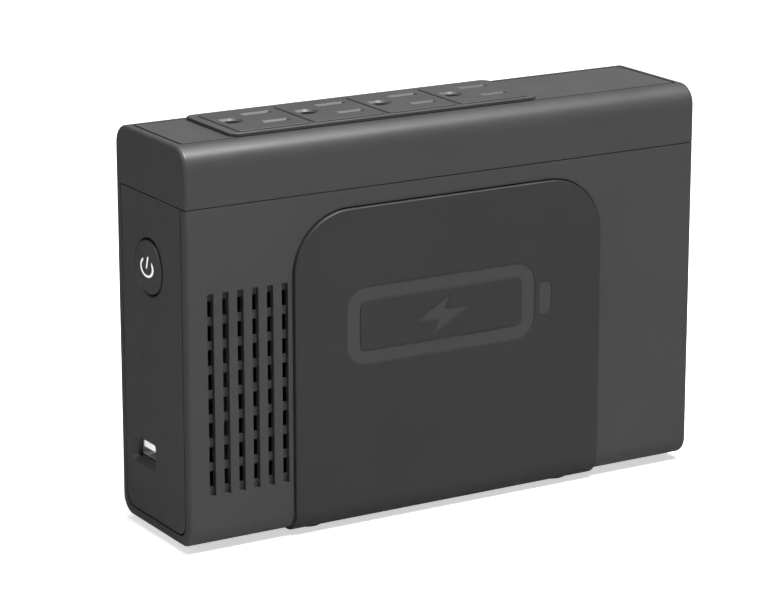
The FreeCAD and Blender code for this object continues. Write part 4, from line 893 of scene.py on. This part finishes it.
@dataclass
class ChargingPort(SubAssembly):
    """USB socket: folded shell, tongue and contacts, with the leaf springs that hold a plug.

    Attributes:
        sheet: Thickness of the shell's metal.
        spring_gap: Distance between the middles of the two springs.
        spring_width: Width of a spring.
        spring_length: Length of a spring.
        spring_setback: From the shell's mouth to the springs.
        spring_rise: How far a spring bows into the socket.
        spring_thinning: Thickness of a spring, as a share of the shell's.
        spring_taper: Width of a spring's ends, as a share of its width.
        bow_power: How flat the spring's ends run out: the power that its sine is raised to.
        fold_angle: Edges of a spring that turn more than this stay sharp.
    """

    title: str = "charging port"
    nodes: dict[str, str] = field(default_factory=lambda: {
        "usb_shell": "usb_metal", "usb_tongue": "white_plastic", "usb_contacts": "contact_brass"})
    sheet: float = 0.3 * MM
    spring_gap: float = 7.0 * MM
    spring_width: float = 2.0 * MM
    spring_length: float = 5.5 * MM
    spring_setback: float = 0.35 * MM
    spring_rise: float = 0.75 * MM
    spring_thinning: float = 0.6
    spring_taper: float = 0.7
    bow_power: float = 1.5
    fold_angle: float = math.radians(50)

    def build(self) -> list[bpy.types.Object]:
        """Make the two springs on the lower wall, as bowed strips.

        Returns:
            The springs, as one piece.
        """
        low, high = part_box("usb_shell")
        middle = (low.y + high.y) / 2
        floor = low.z + self.sheet
        shape = bmesh.new()
        for side in (-1.0, 1.0):
            start = Vector((low.x + self.spring_setback, middle + side * self.spring_gap / 2, floor))
            self.add_spring(shape, start)
        springs = piece_from("usb_springs", shape, self.fold_angle)
        return [self.add(springs, "usb_metal", Body.HOUSING)]

    def add_spring(self, shape: bmesh.types.BMesh, start: Vector, steps: int = 14) -> None:
        """Add one bowed strip that runs into the socket.

        Args:
            shape: The shape to add to.
            start: Middle of its front end, on the wall.
            steps: Runs that the bow is made of.
        """
        thick = self.sheet * self.spring_thinning
        rings = []
        for step in range(steps + 1):
            share = step / steps
            wave = math.sin(math.pi * share)
            half = self.spring_width / 2 * (self.spring_taper + (1.0 - self.spring_taper) * wave)
            base = start + Vector((share * self.spring_length, 0.0, wave ** self.bow_power * self.spring_rise))
            rings.append([shape.verts.new(base + Vector((0.0, y, z)))
                          for y, z in ((-half, 0.0), (half, 0.0), (half, thick), (-half, thick))])
        for first, second in zip(rings, rings[1:]):
            for index in range(4):
                after = (index + 1) % 4
                shape.faces.new((first[index], second[index], second[after], first[after]))
        shape.faces.new(rings[0])
        shape.faces.new(rings[-1][::-1])


@dataclass
class MainsEntry(SubAssembly):
    """Mains inlet and resettable breaker on the far end."""

    title: str = "mains entry"
    nodes: dict[str, str] = field(default_factory=lambda: {
        "ac_inlet": "dark_plastic", "inlet_pins": "pin_metal", "inlet_tabs": "pin_metal",
        "breaker_body": "dark_plastic", "breaker_button": "button_plastic"})


@dataclass
class BatteryPack(SubAssembly):
    """Chassis plate, cells and their holders, strips and board."""

    title: str = "battery pack"
    nodes: dict[str, str] = field(default_factory=lambda: {
        "chassis_plate": "sheet_steel", "battery_cells": "cell_wrap", "lower_cell_holder": "dark_plastic",
        "upper_cell_holder": "dark_plastic", "upper_nickel_strips": "pin_metal",
        "lower_nickel_strips": "pin_metal", "battery_board": "board_green"})


@dataclass
class Inverter(SubAssembly):
    """Main board and what stands on it, with the wiring."""

    title: str = "inverter"
    nodes: dict[str, str] = field(default_factory=lambda: {
        "main_board": "board_green", "board_standoffs": "contact_brass", "board_screws": "screw_steel",
        "heatsink": "heatsink_aluminium", "power_transistors": "component_black",
        "transformer_core": "ferrite", "transformer_coil": "coil_tape", "transformer_feet": "component_black",
        "bulk_capacitors": "capacitor_sleeve", "transfer_relays": "relay_blue", "mains_fuse": "fuse_glass",
        "fuse_clips": "contact_brass", "board_terminals": "terminal_green", "outlet_leads": "lead_black",
        "inlet_leads": "lead_black", "battery_leads": "lead_insulation"})


# ---- studio -------------------------------------------------------------------------------
@dataclass(frozen=True)
class SoftBox:
    """Rectangular studio light.

    Attributes:
        name: Its name.
        place: Where it hangs.
        aim: Point that it faces.
        width: Its width.
        height: Its height.
        power: Its power in watts.
    """

    name: str
    place: tuple[float, float, float]
    aim: tuple[float, float, float]
    width: float
    height: float
    power: float

    def hang(self) -> bpy.types.Object:
        """Make the light.

        Returns:
            The light.
        """
        lamp = bpy.data.lights.new(self.name, "AREA")
        lamp.shape = "RECTANGLE"
        lamp.size = self.width
        lamp.size_y = self.height
        lamp.energy = self.power
        light = bpy.data.objects.new(self.name, lamp)
        light.location = self.place
        light.rotation_euler = (Vector(self.aim) - Vector(self.place)).to_track_quat("-Z", "Y").to_euler()
        bpy.context.scene.collection.objects.link(light)
        return light


@dataclass
class Studio:
    """Pale floor, soft light and the camera.

    Attributes:
        eye: Place of the camera.
        yaw: Its turn from +Y towards +X, in degrees.
        pitch: Its tilt downwards, in degrees.
        lens: Focal length in millimetres.
        sensor: Width of the sensor in millimetres.
        floor_half: Half the side of the floor.
        floor_colour: Linear colour of the floor.
        floor_glow: Light that comes through the floor, as on a light table.
        sky: Brightness of the surroundings.
        backdrop: Brightness of the backdrop beyond the floor.
        lights: The soft boxes.
    """

    eye: tuple[float, float, float] = (-0.51118, -0.83903, 0.33186)
    yaw: float = 30.943
    pitch: float = 15.367
    lens: float = 147.09
    sensor: float = 36.0
    floor_half: float = 6.0
    floor_colour: Colour = (0.86, 0.86, 0.86)
    floor_glow: float = 0.6
    sky: float = 0.05
    backdrop: float = 1.0
    lights: tuple[SoftBox, ...] = (
        SoftBox("edge_light", (0.10, -0.40, 1.10), (-0.02, 0.0, 0.12), 0.45, 0.35, 20.5),
        SoftBox("top_light", (0.1, 0.0, 1.3), (0.0, 0.0, 0.08), 1.2, 1.2, 12.5),
        SoftBox("left_light", (-1.3, 0.2, 0.6), (0.0, 0.0, 0.08), 0.8, 0.8, 3.6),
        SoftBox("back_light", (0.75, 1.3, 0.42), (0.0, 0.0, 0.1), 1.6, 0.5, 0.5),
    )

    def build(self) -> None:
        """Set the whole studio up."""
        self.place_camera()
        self.lay_floor()
        self.light_surroundings()
        for light in self.lights:
            light.hang()
            LOG.info("studio: hung %s", light.name)

    def place_camera(self) -> None:
        """Make the camera and choose it."""
        lens = bpy.data.cameras.new("camera")
        lens.lens = self.lens
        lens.sensor_width = self.sensor
        lens.clip_start = 0.01
        lens.clip_end = 50.0
        camera = bpy.data.objects.new("camera", lens)
        camera.location = self.eye
        camera.rotation_euler = (math.radians(90.0 - self.pitch), 0.0, -math.radians(self.yaw))
        bpy.context.scene.collection.objects.link(camera)
        bpy.context.scene.camera = camera

    def lay_floor(self) -> None:
        """Make the plain floor."""
        shape = bmesh.new()
        bmesh.ops.create_grid(shape, x_segments=8, y_segments=8, size=self.floor_half)
        floor = piece_from("floor", shape)
        graph, shader = start_material("floor_paper")
        drift = EFFECTS.use(graph, Effect.COLOUR_DRIFT, Colour=(*self.floor_colour, 1.0), Amount=0.01, Scale=3.0)
        wire(graph, shader, Base_Color=drift.outputs["Colour"], Roughness=0.9, Specular_IOR_Level=0.0,
             Emission_Color=(*WHITE, 1.0), Emission_Strength=self.floor_glow)
        floor.data.materials.append(bpy.data.materials["floor_paper"])
        floor.visible_glossy = False

    def light_surroundings(self) -> None:
        """Light the scene faintly from all round, with a white backdrop behind the object."""
        world = bpy.data.worlds.new("surroundings")
        world.use_nodes = True
        tree = world.node_tree
        fill = tree.nodes["Background"]
        backdrop = tree.nodes.new("ShaderNodeBackground")
        for node, strength in ((fill, self.sky), (backdrop, self.backdrop)):
            node.inputs["Color"].default_value = (*WHITE, 1.0)
            node.inputs["Strength"].default_value = strength
        choice = tree.nodes.new("ShaderNodeMixShader")
        tree.links.new(tree.nodes.new("ShaderNodeLightPath").outputs["Is Camera Ray"], choice.inputs["Fac"])
        tree.links.new(fill.outputs["Background"], choice.inputs[1])
        tree.links.new(backdrop.outputs["Background"], choice.inputs[2])
        tree.links.new(choice.outputs["Shader"], tree.nodes["World Output"].inputs["Surface"])
        bpy.context.scene.world = world
        bpy.context.scene.view_settings.view_transform = "Standard"


def main() -> None:
    """Build every sub-assembly in order, then the studio."""
    logging.basicConfig(level=logging.INFO, format="%(name)s %(message)s")
    groups: tuple[SubAssembly, ...] = (Case(), Outlets(), PowerKey(), ChargingPort(), MainsEntry(), BatteryPack(),
                                       Inverter())
    for group in groups:
        group.dress()
        made = group.build()
        LOG.info("%s: %d new pieces", group.title, len(made))
    Studio().build()


if __name__ == "__main__":
    main()
